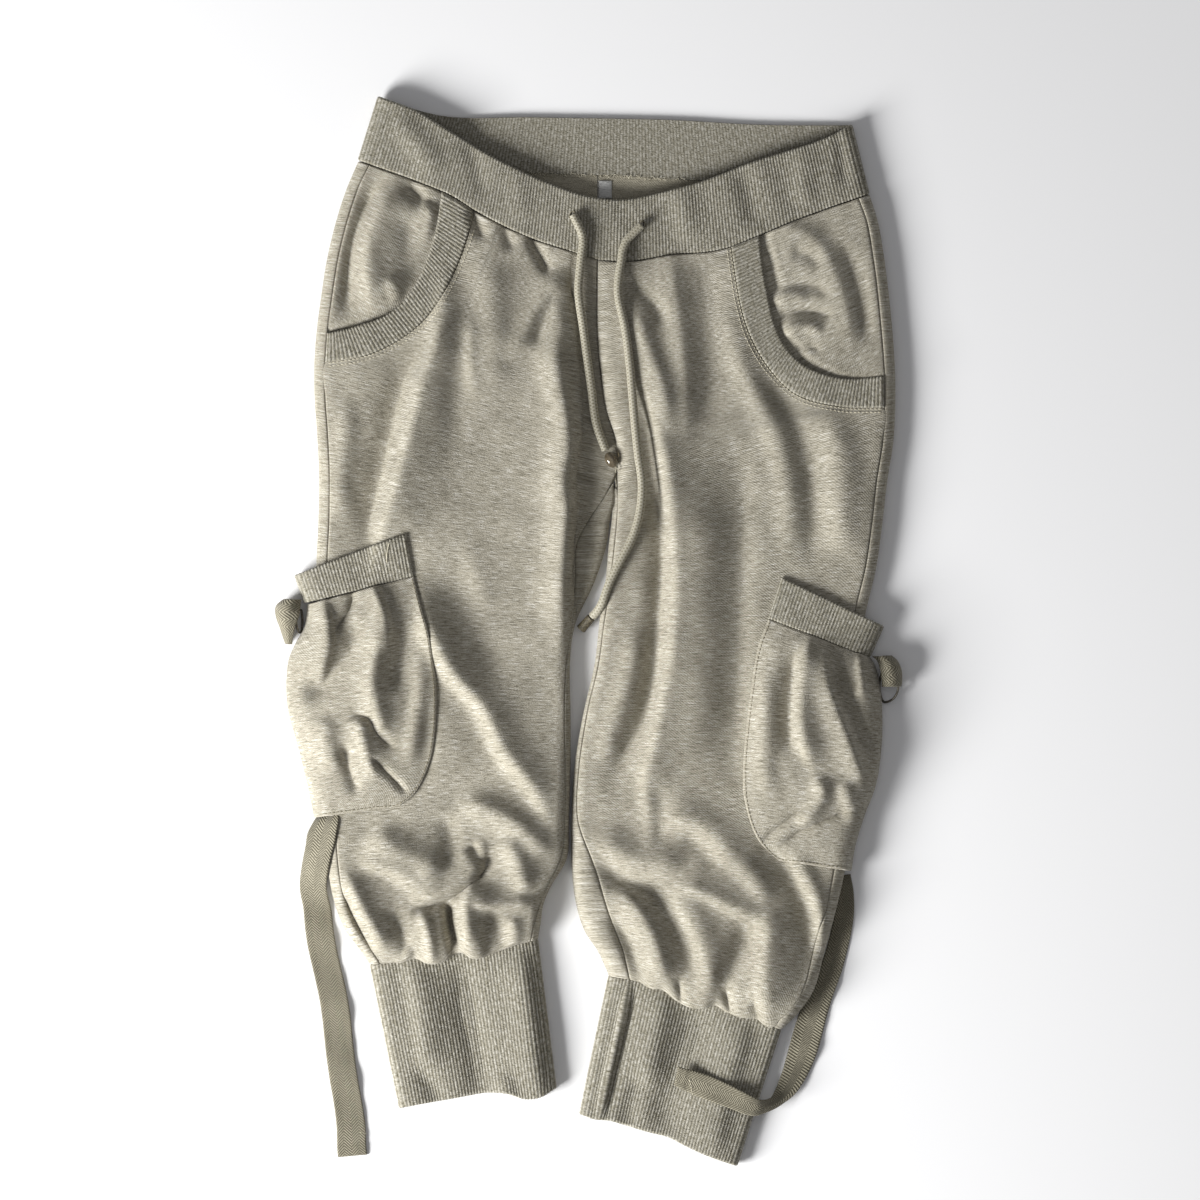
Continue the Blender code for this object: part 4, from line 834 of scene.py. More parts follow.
def painted(tree, shader, base, *layers):
    """Lays colours over a base, each by its value eased from low to high, times its share."""
    for value, low, high, share, colour in layers:
        cover = ramp(tree, value, low, high)
        base = mixed(tree, cover if share == 1 else times(tree, cover, share), base, colour)
    tree.links.new(base, shader.inputs["Base Color"])


def bumped(tree, shader, height, distance, strength=1.0):
    """Feeds a height, in units of distance, to the shader's normal."""
    bump = add_node(tree, "ShaderNodeBump",
                    {"Height": height, "Distance": distance, "Strength": strength})
    tree.links.new(bump.outputs[0], shader.inputs["Normal"])


print("colour check: #808080 is", round(linear("#808080")[0], 3), "in linear light")

# %% [markdown]
# ## Slub jersey
#
# The body is a heathered French terry: a pale ecru yarn spun with darker fibres, knitted in
# courses that run across the leg.  Uneven yarn gives thin dark streaks a few millimetres long
# and a fraction of a millimetre wide, pale thick places, and a faint grain from the loops.
# Streaks are stretched noise on the flat cloth, so they follow each piece round its edges.
# The inside of the cloth is the same yarn looped loosely, so it is a little darker.
# %% Jersey
def jersey_material(name, base, dark, pale, streaks=1.0):
    """Heathered slub jersey in three shades of one yarn."""
    material, tree, shader = new_material(name, Roughness=0.92, Sheen_Weight=0.12,
                                          Sheen_Roughness=0.5, Specular_IOR_Level=0.2)
    long_streaks = noise(tree, cloth_place(tree, (0.0085, 0.0009)), 3.0, 0.62, 0.25)
    short_streaks = noise(tree, cloth_place(tree, (0.0042, 0.0007)), 2.0, 0.6, 0.1)
    clouds = noise(tree, cloth_place(tree, (0.045, 0.018)), 2.0, 0.5)
    grain = noise(tree, cloth_place(tree, (0.0011, 0.00075)), 1.0, 0.5)
    painted(tree, shader, base,
            (long_streaks, 0.51, 0.70, 0.58 * streaks, dark),
            (short_streaks, 0.54, 0.73, 0.58 * streaks, dark),
            (long_streaks, 0.46, 0.28, 0.66 * streaks, pale),
            (clouds, 0.35, 0.7, 0.16, dark), (grain, 0.3, 0.75, 0.28, dark))
    loops = add_node(tree, "ShaderNodeTexWave",
                     {"Vector": cloth_place(tree, (0.00115, 0.0009)), "Scale": 0.32,
                      "Distortion": 2.0, "Detail": 1.0, "Detail Scale": 1.5},
                     wave_type="BANDS", bands_direction="DIAGONAL").outputs["Fac"]
    height = times(tree, times(tree, long_streaks, 0.9), times(tree, grain, 0.7), "ADD")
    height = times(tree, height, times(tree, loops, 0.35), "ADD")
    bumped(tree, shader, height, 0.00035)
    return material


JERSEY_CLOTH = jersey_material("slub french terry jersey", "#b2ac9c", "#5a5545", "#e4e1d8")
JERSEY_INSIDE = jersey_material("looped inside of the jersey", "#b0aa98", "#68614e", "#b9b3a2",
                                0.8)
print("jersey streaks about 8.5 mm long and 0.9 mm wide")

# %% [markdown]
# ## Rib knit
#
# The waistband, cuffs and pocket edges are a 1 x 1 rib: a raised knit wale and a sunken purl
# wale every 2.4 mm.  The relief is real geometry.  The material darkens the sunken wales, where
# light doesn't reach the yarn, and adds the small uneven rows of stitches across each wale.
# %% Rib knit
def rib_material(name, base, dark, pale):
    """1 x 1 rib whose phase is stored on the mesh as 'wale', in ribs."""
    material, tree, shader = new_material(name, Roughness=0.9, Sheen_Weight=0.12,
                                          Sheen_Roughness=0.5, Specular_IOR_Level=0.2)
    wale = add_node(tree, "ShaderNodeAttribute", attribute_name="wale").outputs["Fac"]
    crest = wave_of(tree, wale)
    rows = noise(tree, cloth_place(tree, (0.0022, 0.0008)), 2.0, 0.6, 0.3)
    heather = noise(tree, cloth_place(tree, (0.0026, 0.0034)), 3.0, 0.7)
    painted(tree, shader, base, (heather, 0.35, 0.72, 0.5, pale), (rows, 0.5, 0.7, 0.72, dark),
            (crest, 0.1, -0.9, 0.5, dark))
    bumped(tree, shader, rows, 0.0004)
    return material


RIB_KNIT = rib_material("1 x 1 rib knit", "#908b7c", "#4c4836", "#d3d0c6")
print("rib wales every 2.4 mm")

# %% [markdown]
# ## Herringbone twill tape
#
# The tape is woven in upright columns 5.6 mm wide.  The fine diagonal ridges lean one way in
# one column and the other way in the next.  The light they catch is painted into the colour,
# as pale dashes on their crests and painted shade between them.
# %% Twill tape
def twill_material(name, base, dark, pale):
    """Herringbone tape; the weave runs along the flat tape."""
    material, tree, shader = new_material(name, Roughness=0.75, Specular_IOR_Level=0.3,
                                          Sheen_Weight=0.1)
    place = add_node(tree, "ShaderNodeSeparateXYZ",
                     {0: cloth_place(tree, (0.0056, 0.0056))})
    column = times(tree, place.outputs[0], 1.0, "PINGPONG")
    lean = times(tree, place.outputs[1], column, "ADD")
    ridges = wave_of(tree, times(tree, lean, 2.6), "SINE")
    uneven = noise(tree, cloth_place(tree, (0.002, 0.0016)), 2.0, 0.6)
    patch = noise(tree, cloth_place(tree, (0.02, 0.05)), 2.0, 0.5)
    # Pale ridge crests are painted highlight and the dark troughs painted shade.
    painted(tree, shader, base, (ridges, 0.1, 1.0, 0.55, pale), (ridges, 0.0, -1.0, 0.6, dark),
            (uneven, 0.45, 0.8, 0.45, dark), (patch, 0.35, 0.7, 0.25, dark))
    bumped(tree, shader, times(tree, ridges, uneven, "ADD"), 0.00025)
    return material


TWILL = twill_material("herringbone twill tape", "#88826e", "#4a4535", "#c0baa8")
print("tape columns 5.6 mm wide")

# %% [markdown]
# ## Cord, tip, bead, wire, label, thread
#
# The cord is a pale braid with a silky shine on its raised strands and painted shade in the
# hollows between them.  Its tip is wrapped thread coloured far darker than the cord as painted
# shade, its bead is clear smoky plastic, and the rings are nickel wire gone slightly dull.
# The label is bare satin, and the seams are sewn with cream cotton thread.
# %% Small materials
def braid_material():
    """Round braid: strands cross along the cord, and the hollows between them are painted darker as
    shade.
    """
    material, tree, shader = new_material("braided cotton cord", Roughness=0.6,
                                          Specular_IOR_Level=0.4, Sheen_Weight=0.15)
    strand = add_node(tree, "ShaderNodeAttribute", attribute_name="strand").outputs["Fac"]
    fibres = noise(tree, cloth_place(tree, (0.0006, 0.003)), 2.0, 0.6)
    # Hollows between the raised strands are coloured darker: painted shade.
    painted(tree, shader, "#aba695", (strand, 0.7, 0.0, 1, "#79735f"),
            (fibres, 0.4, 0.75, 0.35, "#7d7764"))
    bumped(tree, shader, fibres, 0.00015)
    return material


def wound_material(name, base, dark, pitch, roughness):
    """Thread wound or twisted closely, with noise specks of painted shade standing for the hollows
    between its turns.
    """
    material, tree, shader = new_material(name, Roughness=roughness)
    grain = speckle(tree, 1.0 / pitch)
    # Darker noise specks are painted shade meant for the hollows between turns.
    painted(tree, shader, base, (grain, 0.35, 0.7, 1, dark))
    bumped(tree, shader, grain, pitch * 0.3)
    return material


def bead_material():
    """Clear smoky plastic with a slightly cloudy heart."""
    material, tree, shader = new_material("clear smoky plastic", Roughness=0.08, IOR=1.5,
                                          Transmission_Weight=0.55, Coat_Weight=0.4)
    painted(tree, shader, "#8c806a", (speckle(tree, 220.0), 0.35, 0.7, 1, "#5f5441"))
    return material


def wire_material():
    """Nickel wire, polished once and now unevenly dull."""
    material, tree, shader = new_material("dull nickel wire", Metallic=1.0)
    haze = speckle(tree, 400.0, 3.0)
    painted(tree, shader, "#8f8a80", (haze, 0.3, 0.75, 1, "#5f5a50"))
    tree.links.new(ramp(tree, haze, -0.6, 1.9), shader.inputs["Roughness"])
    return material


def satin_material():
    """Woven satin label: faint sideways ribs on a pale grey ground."""
    material, tree, shader = new_material("woven satin label", Roughness=0.45,
                                          Specular_IOR_Level=0.5)
    weave = noise(tree, cloth_place(tree, (0.003, 0.0004)), 2.0, 0.5)
    painted(tree, shader, "#c9c9c6", (weave, 0.3, 0.75, 1, "#a3a39f"))
    bumped(tree, shader, weave, 0.0001)
    return material


BRAID = braid_material()
# The tip is the cord's own cloth, coloured far darker than the cord as painted shade.
TIP_PAINTED_SHADE = wound_material("wrapped cord tip with painted shade", "#6d6550", "#332e20", 0.0009, 0.6)
THREAD = wound_material("cream sewing thread", "#d8d2be", "#a39b82", 0.0006, 0.7)
DARK_THREAD = wound_material("taupe sewing thread", "#8b836c", "#5e5743", 0.0006, 0.75)
SMOKY = bead_material()
NICKEL = wire_material()
SATIN = satin_material()
print(len([m for m in bpy.data.materials if m.use_nodes]), "materials in the file")

# %% [markdown]
# ## Geometry Nodes for what repeats
#
# Three trees do the sewing-room work.  "rib relief" raises the wales of a rib piece.  "stitch
# run" lays a short round stitch at each step along a drawn line.  "ruffled edge" winds a fuzzy
# overlock thread from side to side along a line.  Each is built once with named inputs, used as
# a modifier, and its result kept as a plain mesh.
# %% Trees
def new_tree(name, inputs):
    """A geometry tree with named inputs; returns the tree, its input and its output node."""
    tree = bpy.data.node_groups.new(name, "GeometryNodeTree")
    tree.interface.new_socket("Geometry", in_out="INPUT", socket_type="NodeSocketGeometry")
    for label, kind, value in inputs:
        socket = tree.interface.new_socket(label, in_out="INPUT", socket_type=kind)
        if value is not None:
            socket.default_value = value
    tree.interface.new_socket("Geometry", in_out="OUTPUT", socket_type="NodeSocketGeometry")
    return tree, tree.nodes.new("NodeGroupInput"), tree.nodes.new("NodeGroupOutput")


def close_tree(tree, geometry, group_in, group_out):
    """Ends a tree with Realize Instances and Set Material."""
    real = add_node(tree, "GeometryNodeRealizeInstances", {0: geometry})
    coloured = add_node(tree, "GeometryNodeSetMaterial",
                        {"Geometry": real.outputs[0], "Material": group_in.outputs["Material"]})
    tree.links.new(coloured.outputs[0], group_out.inputs[0])
    return tree


def scaled(tree, vector, by):
    """A vector made longer or shorter."""
    return add_node(tree, "ShaderNodeVectorMath", {0: vector, "Scale": by},
                    operation="SCALE").outputs[0]


def even_curve(tree, start):
    """The tree's line of edges as a curve with a point at every pitch."""
    line = add_node(tree, "GeometryNodeMeshToCurve", {0: start.outputs["Geometry"]}).outputs[0]
    return add_node(tree, "GeometryNodeResampleCurve",
                    {"Curve": line, "Length": start.outputs["Pitch"]}, mode="LENGTH").outputs[0]


def rib_tree():
    """Moves the outer face of a rib piece out by a rounded wave of its 'wale' phase."""
    tree, start, end = new_tree("rib relief", (("Depth", "NodeSocketFloat", 0.0005),
                                               ("Material", "NodeSocketMaterial", None)))
    wale, outside = (add_node(tree, "GeometryNodeInputNamedAttribute", {"Name": name},
                              data_type="FLOAT").outputs[0] for name in ("wale", "outside"))
    rise = times(tree, times(tree, wave_of(tree, wale), outside), start.outputs["Depth"])
    normal = add_node(tree, "GeometryNodeInputNormal").outputs[0]
    offset = scaled(tree, normal, rise)
    moved = add_node(tree, "GeometryNodeSetPosition",
                     {"Geometry": start.outputs["Geometry"], "Offset": offset}).outputs[0]
    return close_tree(tree, moved, start, end)


def stitch_tree():
    """Lays round stitches along a line of edges, each turned to follow it."""
    tree, start, end = new_tree("stitch run", (("Pitch", "NodeSocketFloat", 0.003),
                                               ("Length", "NodeSocketFloat", 0.0022),
                                               ("Thread", "NodeSocketFloat", 0.0003),
                                               ("Material", "NodeSocketMaterial", None)))
    even = even_curve(tree, start)
    tangent = add_node(tree, "GeometryNodeInputTangent").outputs[0]
    turned = add_node(tree, "FunctionNodeAlignEulerToVector", {"Vector": tangent},
                      axis="Z").outputs[0]
    stitch = add_node(tree, "GeometryNodeMeshUVSphere",
                      {"Segments": 8, "Rings": 6, "Radius": 1.0}).outputs[0]
    long = times(tree, start.outputs["Length"], 0.5)
    size = add_node(tree, "ShaderNodeCombineXYZ",
                    {0: start.outputs["Thread"], 1: start.outputs["Thread"], 2: long}).outputs[0]
    laid = add_node(tree, "GeometryNodeInstanceOnPoints",
                    {"Points": even, "Instance": stitch, "Rotation": turned,
                     "Scale": size}).outputs[0]
    return close_tree(tree, laid, start, end)


def ruffle_tree():
    """Winds a thin thread from side to side along a line of edges, unevenly."""
    tree, start, end = new_tree("ruffled edge", (("Pitch", "NodeSocketFloat", 0.0009),
                                                 ("Reach", "NodeSocketFloat", 0.0018),
                                                 ("Thread", "NodeSocketFloat", 0.00025),
                                                 ("Seed", "NodeSocketInt", 3),
                                                 ("Material", "NodeSocketMaterial", None)))
    even, reach = even_curve(tree, start), start.outputs["Reach"]
    low, high = scaled(tree, (-0.4, -1.0, -0.3), reach), scaled(tree, (0.4, 1.0, 0.9), reach)
    jitter = add_node(tree, "FunctionNodeRandomValue",
                      {0: low, 1: high, "Seed": start.outputs["Seed"]},
                      data_type="FLOAT_VECTOR").outputs[0]
    wound = add_node(tree, "GeometryNodeSetPosition",
                     {"Geometry": even, "Offset": jitter}).outputs[0]
    ring = add_node(tree, "GeometryNodeCurvePrimitiveCircle",
                    {"Resolution": 5, "Radius": start.outputs["Thread"]}).outputs[0]
    thread = add_node(tree, "GeometryNodeCurveToMesh",
                      {"Curve": wound, "Profile Curve": ring, "Fill Caps": True}).outputs[0]
    return close_tree(tree, thread, start, end)


def through_tree(thing, tree, material, **values):
    """Runs a piece through a tree and keeps the result as the piece's own plain mesh."""
    modifier = thing.modifiers.new(tree.name, "NODES")
    modifier.node_group = tree
    sockets = {item.name: item.identifier for item in tree.interface.items_tree
               if item.item_type == "SOCKET" and item.in_out == "INPUT"}
    modifier[sockets["Material"]] = material
    for label, value in values.items():
        modifier[sockets[label]] = value
    thing.update_tag()
    bpy.context.view_layer.update()
    result = thing.evaluated_get(bpy.context.evaluated_depsgraph_get())
    mesh = bpy.data.meshes.new_from_object(result)
    thing.modifiers.remove(modifier)
    mesh.name = thing.name
    thing.data = mesh
    mesh.shade_smooth()
    return thing


def drawn_line(name, points):
    """A line of edges through points given in millimetres."""
    mesh = bpy.data.meshes.new(name)
    places = [tuple(p * MM) for p in np.asarray(points, float)]
    mesh.from_pydata(places, [(k, k + 1) for k in range(len(places) - 1)], [])
    return placed(name, mesh)


RIB_RELIEF = rib_tree()
STITCH_RUN = stitch_tree()
RUFFLED = ruffle_tree()


def stitches(name, points, pitch=3.0, length=2.3, thread=0.34, material=THREAD):
    """A run of topstitching laid on the cloth along points."""
    run = through_tree(drawn_line(name, points), STITCH_RUN, material,
                       Pitch=pitch * MM, Length=length * MM, Thread=thread * MM)
    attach(run, "root")


def wear(thing, material, *nodes):
    """Gives a piece its material, seats it on the garment and lets it stand for CAD nodes."""
    if not thing.data.materials:
        thing.data.materials.append(material)
    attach(thing, "root")
    if nodes:
        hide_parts(*nodes)
    return thing


def sew(name, grid, node, facing="up"):
    """A jersey piece, with the looped side of the cloth on its inner face."""
    piece = make_shell(name, grid, JERSEY, facing, materials=(JERSEY_CLOTH, JERSEY_INSIDE))
    return wear(piece, JERSEY_CLOTH, node)


print("trees:", ", ".join(t.name for t in bpy.data.node_groups if t.type == "GEOMETRY"))

# %% [markdown]
# ## Front panels
#
# Each front is one piece, cut away at the hip pocket and running down to the cuff.  Its rows are
# drawn from the side to the centre or the inner leg, filled in to under 2 mm, and then lifted to
# the folded height at every point, which is what turns the drawing into draped cloth.
# %% Front panels
def trim_rows(half):
    """Rows of the hip pocket's trim, the last one drawn to the side seam."""
    rows = [list(row) for row in HIP_TRIM[half]]
    for k in (0, 2):
        rows[-1][k] = float(side_x(half, rows[-1][k + 1])) + INWARD[half] * (SIDE_WRAP + 3 * SEAM)
    return rows


def side_gap(half, y):
    """Half the gap at the side seam, a little wider where the cloth balloons above the cuff."""
    return SEAM + 0.15 * max(0.0, min(1.0, 1.4 - (y - LEG_ROWS[half][-1][0]) / 45))


def front_row(half, outer, y_seam, x_seam, on_pocket):
    """One row of a front panel, from the side seam or the hip pocket to the centre or inseam."""
    inward = INWARD[half]
    x_outer, y_outer = outer
    reach = float(through(SECTION[half], y_outer, 2))
    fold_x = float(through(INNER_FOLD[half], y_seam, 1))
    fold_reach = float(through(INNER_FOLD[half], y_seam, 3))
    if on_pocket:
        start = [x_outer + inward * d for d in (0, 3, 7, 12)]
    else:
        turns = arc(reach, angle_at(SIDE_WRAP, reach), 90, 4)
        start = [x_outer + inward * (d - turns[0]) for d in turns]
    past = (x_seam - fold_x) * inward
    if past > 0:
        ends = [fold_x - inward * d for d in arc(fold_reach, 90, 0, 4)]
        ends += [fold_x + inward * past * 0.5, x_seam]
    elif -past < fold_reach - 2:
        ends = [fold_x - inward * d for d in arc(fold_reach, 90, angle_at(-past, fold_reach), 6)]
    else:
        ends = list(np.linspace(x_seam - inward * 10, x_seam, 6))
    middle = list(np.linspace(start[-1], ends[0], 9)[1:-1])
    xs = np.array(start + middle + ends)
    share = (xs - xs[0]) / (xs[-1] - xs[0])
    return xs, y_outer + (y_seam - y_outer) * share


def settle(grid):
    """Eases each height towards its neighbours', as cloth does; the cut edges stay put."""
    z = grid[..., 2]
    around = z[:-2, 1:-1] + z[2:, 1:-1] + z[1:-1, :-2] + z[1:-1, 2:]
    z[1:-1, 1:-1] = 0.4 * z[1:-1, 1:-1] + 0.15 * around


ROLL_AT = 4.0           # mm above the cuff's seam where the cloth rolls down the furthest
FRONT_SPACING = 1.8     # mm between a front panel's points


def front_panel(half):
    """Front of one half: cut away at the hip pocket, then to the side seam, crotch and inseam."""
    inward = INWARD[half]
    rows = []
    for edge, y_seam in zip(trim_rows(half), FRONT_RISE):
        x_seam = float(through(CENTRE, y_seam)) - inward * CENTRE_SEAM
        outer = (edge[0] + inward * SEAM, edge[1] - SEAM)
        rows.append(front_row(half, outer, y_seam, x_seam, on_pocket=True))
    for index, (y_side, y_seam) in enumerate(LEG_ROWS[half]):
        if index < CROTCH_ROW[half]:
            x_seam = float(through(CENTRE, y_seam)) - inward * CENTRE_SEAM
        else:
            x_seam = float(through(INSEAM[half], y_seam)) - inward * SEAM
        x_side = float(side_x(half, y_side)) + inward * (SIDE_WRAP + side_gap(half, y_side))
        rows.append(front_row(half, (x_side, y_side), y_seam, x_seam, on_pocket=False))
    points = []
    for index, (xs, ys) in enumerate(rows):
        if index == 0:
            ys = through(BAND_FOOT_FRONT, xs) - SEAM
        if index == len(rows) - 1:
            ys = through(CUFF_SEAM[half], xs) + SEAM
        points.append(np.column_stack([xs, ys, front_z(half, xs, ys)]))
    grid = filled(points, FRONT_SPACING)
    grid[..., 2] = front_z(half, grid[..., 0], grid[..., 1])
    settle(grid)
    above = np.maximum(grid[..., 1] - through(CUFF_SEAM[half], grid[..., 0]), 0)
    roll = through(CUFF_ROLL[half], grid[..., 0]) * above / ROLL_AT * np.exp(1 - above / ROLL_AT)
    grid[..., 1] -= roll
    return sew(f"{half}_front_panel", grid, f"front_panel_{half}")


SEWN = {}
for half in HALVES:
    SEWN[f"front {half}"] = front_panel(half)
    print(half, "front panel:", len(SEWN[f"front {half}"].data.polygons), "faces")

# %% [markdown]
# ## Back panels
#
# The backs lie on the table, and their edges wrap up round the sides and the inner legs, so the
# side seam and the inseam show on top.  The inside of a back shows in the waist opening, so its
# inner face wears the looped side of the cloth.
# %% Back panels
def back_row(half, y_side, y_seam, x_centre=None):
    """One row of a back panel: side seam on top, round the side, under, and round the inseam."""
    inward = INWARD[half]
    edge = float(side_x(half, y_side))
    reach = float(through(SECTION[half], y_side, 2))
    side_z = float(through(SECTION[half], y_side, 1))
    lap = angle_at(SIDE_WRAP - side_gap(half, y_side), reach)
    top = [edge + inward * d for d in arc(reach, lap, 0, 4)]
    under = [edge + inward * d for d in arc(BACK_ROUND, 30, 90, 3)]
    wrapped = x_centre is None
    if wrapped:
        last = float(leg_inner_x(half, y_seam))
        seam = float(through(INSEAM[half], y_seam)) + inward * SEAM
        inner = [last - inward * d for d in arc(BACK_ROUND, 90, 0, 4)]
        inner += [last + (seam - last) * share for share in (0.25, 0.6, 1.0)]
    else:
        last = seam = x_centre - inward * CENTRE_BACK
        inner = [last - inward * d for d in (14, 11.5, 9, 7, 5, 2.5, 0)]
    lift_end = CARGO_WRAP[half] + WRAP_MARGIN * inward
    flat = [(under[-1] + lift_end) / 2, lift_end, lift_end + (RUN_OUT - 2) * inward]
    flat += list(np.linspace(flat[-1], inner[0], 4)[1:-1])
    xs = np.array(top + under + flat + inner)
    ys = y_side + (y_seam - y_side) * np.clip((xs - edge) / (seam - edge), 0, 1)
    first_inner = len(xs) - len(inner)
    if wrapped:
        ys[first_inner:] = y_seam
    zs = np.empty(len(xs))
    on_top = np.zeros(len(xs))
    for k, (x, y) in enumerate(zip(xs, ys)):
        if k < len(top) or (wrapped and k > first_inner + 3):
            zs[k] = front_z(half, x, y)
            on_top[k] = k != len(top) - 1
        elif wrapped and k >= first_inner:
            low = float(through(INNER_FOLD[half], y_seam, 2))
            zs[k] = back_z(half, x, y, (last - x) * inward, low)
        else:
            zs[k] = back_z(half, x, y, (x - edge) * inward, side_z)
    return xs, ys, zs, on_top


# Both backs run on past the centre here, so that no notch is left open under the crotch.
CROTCH_LAP = {"left": -2.2, "right": 3.8}
BACK_SPACING = 3.0      # mm between a back panel's points


def back_panel(half):
    """Back of one half, under the front, its edges wrapped up to the side seam and the inseam."""
    rows = []
    for y_side, y_seam in BACK_RISE[half]:
        lap = CROTCH_LAP[half] * float(eased((136 - y_seam) / 10))
        rows.append(back_row(half, y_side, y_seam, float(through(CENTRE, y_seam)) - lap))
    for index, (y_side, y_seam) in enumerate(LEG_ROWS[half]):
        above = index < CROTCH_ROW[half]
        centre = float(through(CENTRE, y_seam)) if above else None
        rows.append(back_row(half, y_side, y_seam, centre))
    points = []
    for index, (xs, ys, zs, on_top) in enumerate(rows):
        if index == 0:
            ys = through(BAND_FOOT_BACK, xs) - SEAM
            ys[:4] = np.minimum(ys[:4], through(BAND_FOOT_FRONT, xs[:4]) - SEAM)
        if index == len(rows) - 1:
            ys = through(CUFF_SEAM[half], xs) + SEAM
        points.append(np.column_stack([xs, ys, zs, on_top]))
    grid = filled(points, BACK_SPACING)
    raised = np.clip(grid[..., 3], 0, 1)
    draped = front_z(half, grid[..., 0], grid[..., 1])
    grid[..., 2] = np.maximum(grid[..., 2], JERSEY)
    grid[..., 2] += (draped - grid[..., 2]) * raised
    return sew(f"{half}_back_panel", grid[..., :3], f"back_panel_{half}", facing="down")


for half in HALVES:
    SEWN[f"back {half}"] = back_panel(half)
    print(half, "back panel:", len(SEWN[f"back {half}"].data.polygons), "faces")

# %% [markdown]
# ## Waistband and cuffs
#
# Both are tubes of rib laid flat.  The waistband's front hangs in a shallow U below its straight
# back, so the inside of the back shows above it.  Four mesh columns make one rib, and the rib
# tree raises them; the ribs run from edge to edge and lean with the band.
# %% Waistband and cuffs
RIB_PITCH = 2.4         # from one rib to the next
RIB_DEPTH = 0.25        # half the height of a rib
BAND_SINK = 2.2         # the waistband's folds sink no deeper than this
CUFF_SINK = 3.2         # and the cuffs' no deeper than this
CUFF_GAIN = 1.25        # how much deeper the cuffs' folds lie than the first drawing of them
CUFF_ROUND = 6.0        # reach of the rounding at a cuff's two folds
BAND_EDGE_Z = 5.6       # height of the waistband's folds at its two ends
BAND_ROUND = 9.0        # reach of the rounding at those folds
BAND_TOP_Z = 9.6        # height of the waistband's front layer
BAND_FOLDS = (
    (((-150, 386), (-128, 366), (-112, 340)), 2.2, 8, 10, 2),
    (((-96, 376), (-84, 350), (-78, 322)), -1.8, 8, 8, 2),
    (((-60, 352), (-52, 330), (-50, 306)), 1.6, 9, 9, 2),
    (((66, 336), (72, 312), (74, 290)), 1.8, 9, 10, 2),
    (((112, 352), (120, 326), (124, 300)), -1.8, 9, 9, 2),
    (((158, 368), (162, 342), (160, 318)), 1.8, 8, 9, 2),
    (((186, 378), (190, 352), (192, 332)), -1.6, 5, 6, 2),
)


def waist_side(share):
    """Left and right ends of the waistband at a share of its depth."""
    top, foot = np.array(BAND_TOP_FRONT, float), np.array(BAND_FOOT_FRONT, float)
    return top[0] + (foot[0] - top[0]) * share, top[-1] + (foot[-1] - top[-1]) * share


def waist_ring(share):
    """One ring of the waistband, from the left fold over the front and back under the body."""
    left, right = waist_side(share)
    x0, x1 = left[0] + RIB, right[0] - RIB
    edge_stations = [0] + arc(BAND_ROUND, 25, 90, 4)
    middle = np.linspace(x0 + BAND_ROUND, x1 - BAND_ROUND, 20)[1:-1]
    front_x = [x0 + d for d in edge_stations] + list(middle) + [x1 - d for d in edge_stations[::-1]]
    ring = []
    for front, top, foot in ((True, BAND_TOP_FRONT, BAND_FOOT_FRONT),
                             (False, BAND_TOP_BACK, BAND_FOOT_BACK)):
        xs = np.array(front_x if front else front_x[::-1][1:-1])
        place = (xs - x0) / (x1 - x0)
        ys_top = through(top, top[0][0] + place * (top[-1][0] - top[0][0]))
        ys_foot = through(foot, foot[0][0] + place * (foot[-1][0] - foot[0][0])) + SEAM
        ys = ys_top + (ys_foot - ys_top) * share
        rounded = shoulder(np.minimum(xs - x0, x1 - xs), BAND_ROUND)
        if front:
            flat = BAND_TOP_Z + 1.2 * np.sin(place * 9.0) * np.sin(place * math.pi)
            zs = BAND_EDGE_Z + (flat - BAND_EDGE_Z) * rounded
        else:
            zs = RIB + (BAND_EDGE_Z - RIB) * (1 - rounded)
        ring += list(zip(xs, ys, zs, rounded * front))
    return ring


def ribbed(piece, rows, columns, along_rows=False):
    """Stores the rib phase, four mesh columns to a rib, and raises the ribs."""
    count = rows if along_rows else columns
    phase = np.arange(count) / 4.0
    wale = np.broadcast_to(phase[:, None] if along_rows else phase[None, :], (rows, columns))
    set_float(piece, "wale", wale)
    return through_tree(piece, RIB_RELIEF, RIB_KNIT, Depth=RIB_DEPTH * MM)


def rib_columns(line, closed=False):
    """Mesh columns for the ribs along a line, four to a rib."""
    line = np.array(line, float)
    if closed:
        line = np.vstack([line, line[:1]])
    return 4 * round(line_steps(line).sum() / RIB_PITCH)


def rib_tube(name, node, rings, middle, spacing, folds, gain, sway, sink):
    """A closed tube of rib, its upper side folded; returns it and its number of ribs."""
    columns = rib_columns(np.array(rings[middle])[:, :3], closed=True)
    grid = filled_ring(rings, columns, spacing)
    x, y, z, raised = (grid[..., k] for k in range(4))
    lift = gain * fold_height(x, y, folds) + sway * hand(x, y)
    z = z + np.maximum(lift, -sink) * np.clip(raised, 0, 1)
    grid = np.stack([x, y, np.maximum(z, RIB + RIB_DEPTH)], axis=-1)
    piece = make_shell(name, grid, RIB, "out", closed=True)
    wear(ribbed(piece, len(grid), columns), RIB_KNIT, node)
    return piece, columns // 4


def waistband():
    rings = [waist_ring(s) for s in (0, 0.25, 0.5, 0.75, 1)]
    return rib_tube("waistband_rib", "waistband", rings, 2, 4.0, BAND_FOLDS, 1.0, 1.2, BAND_SINK)


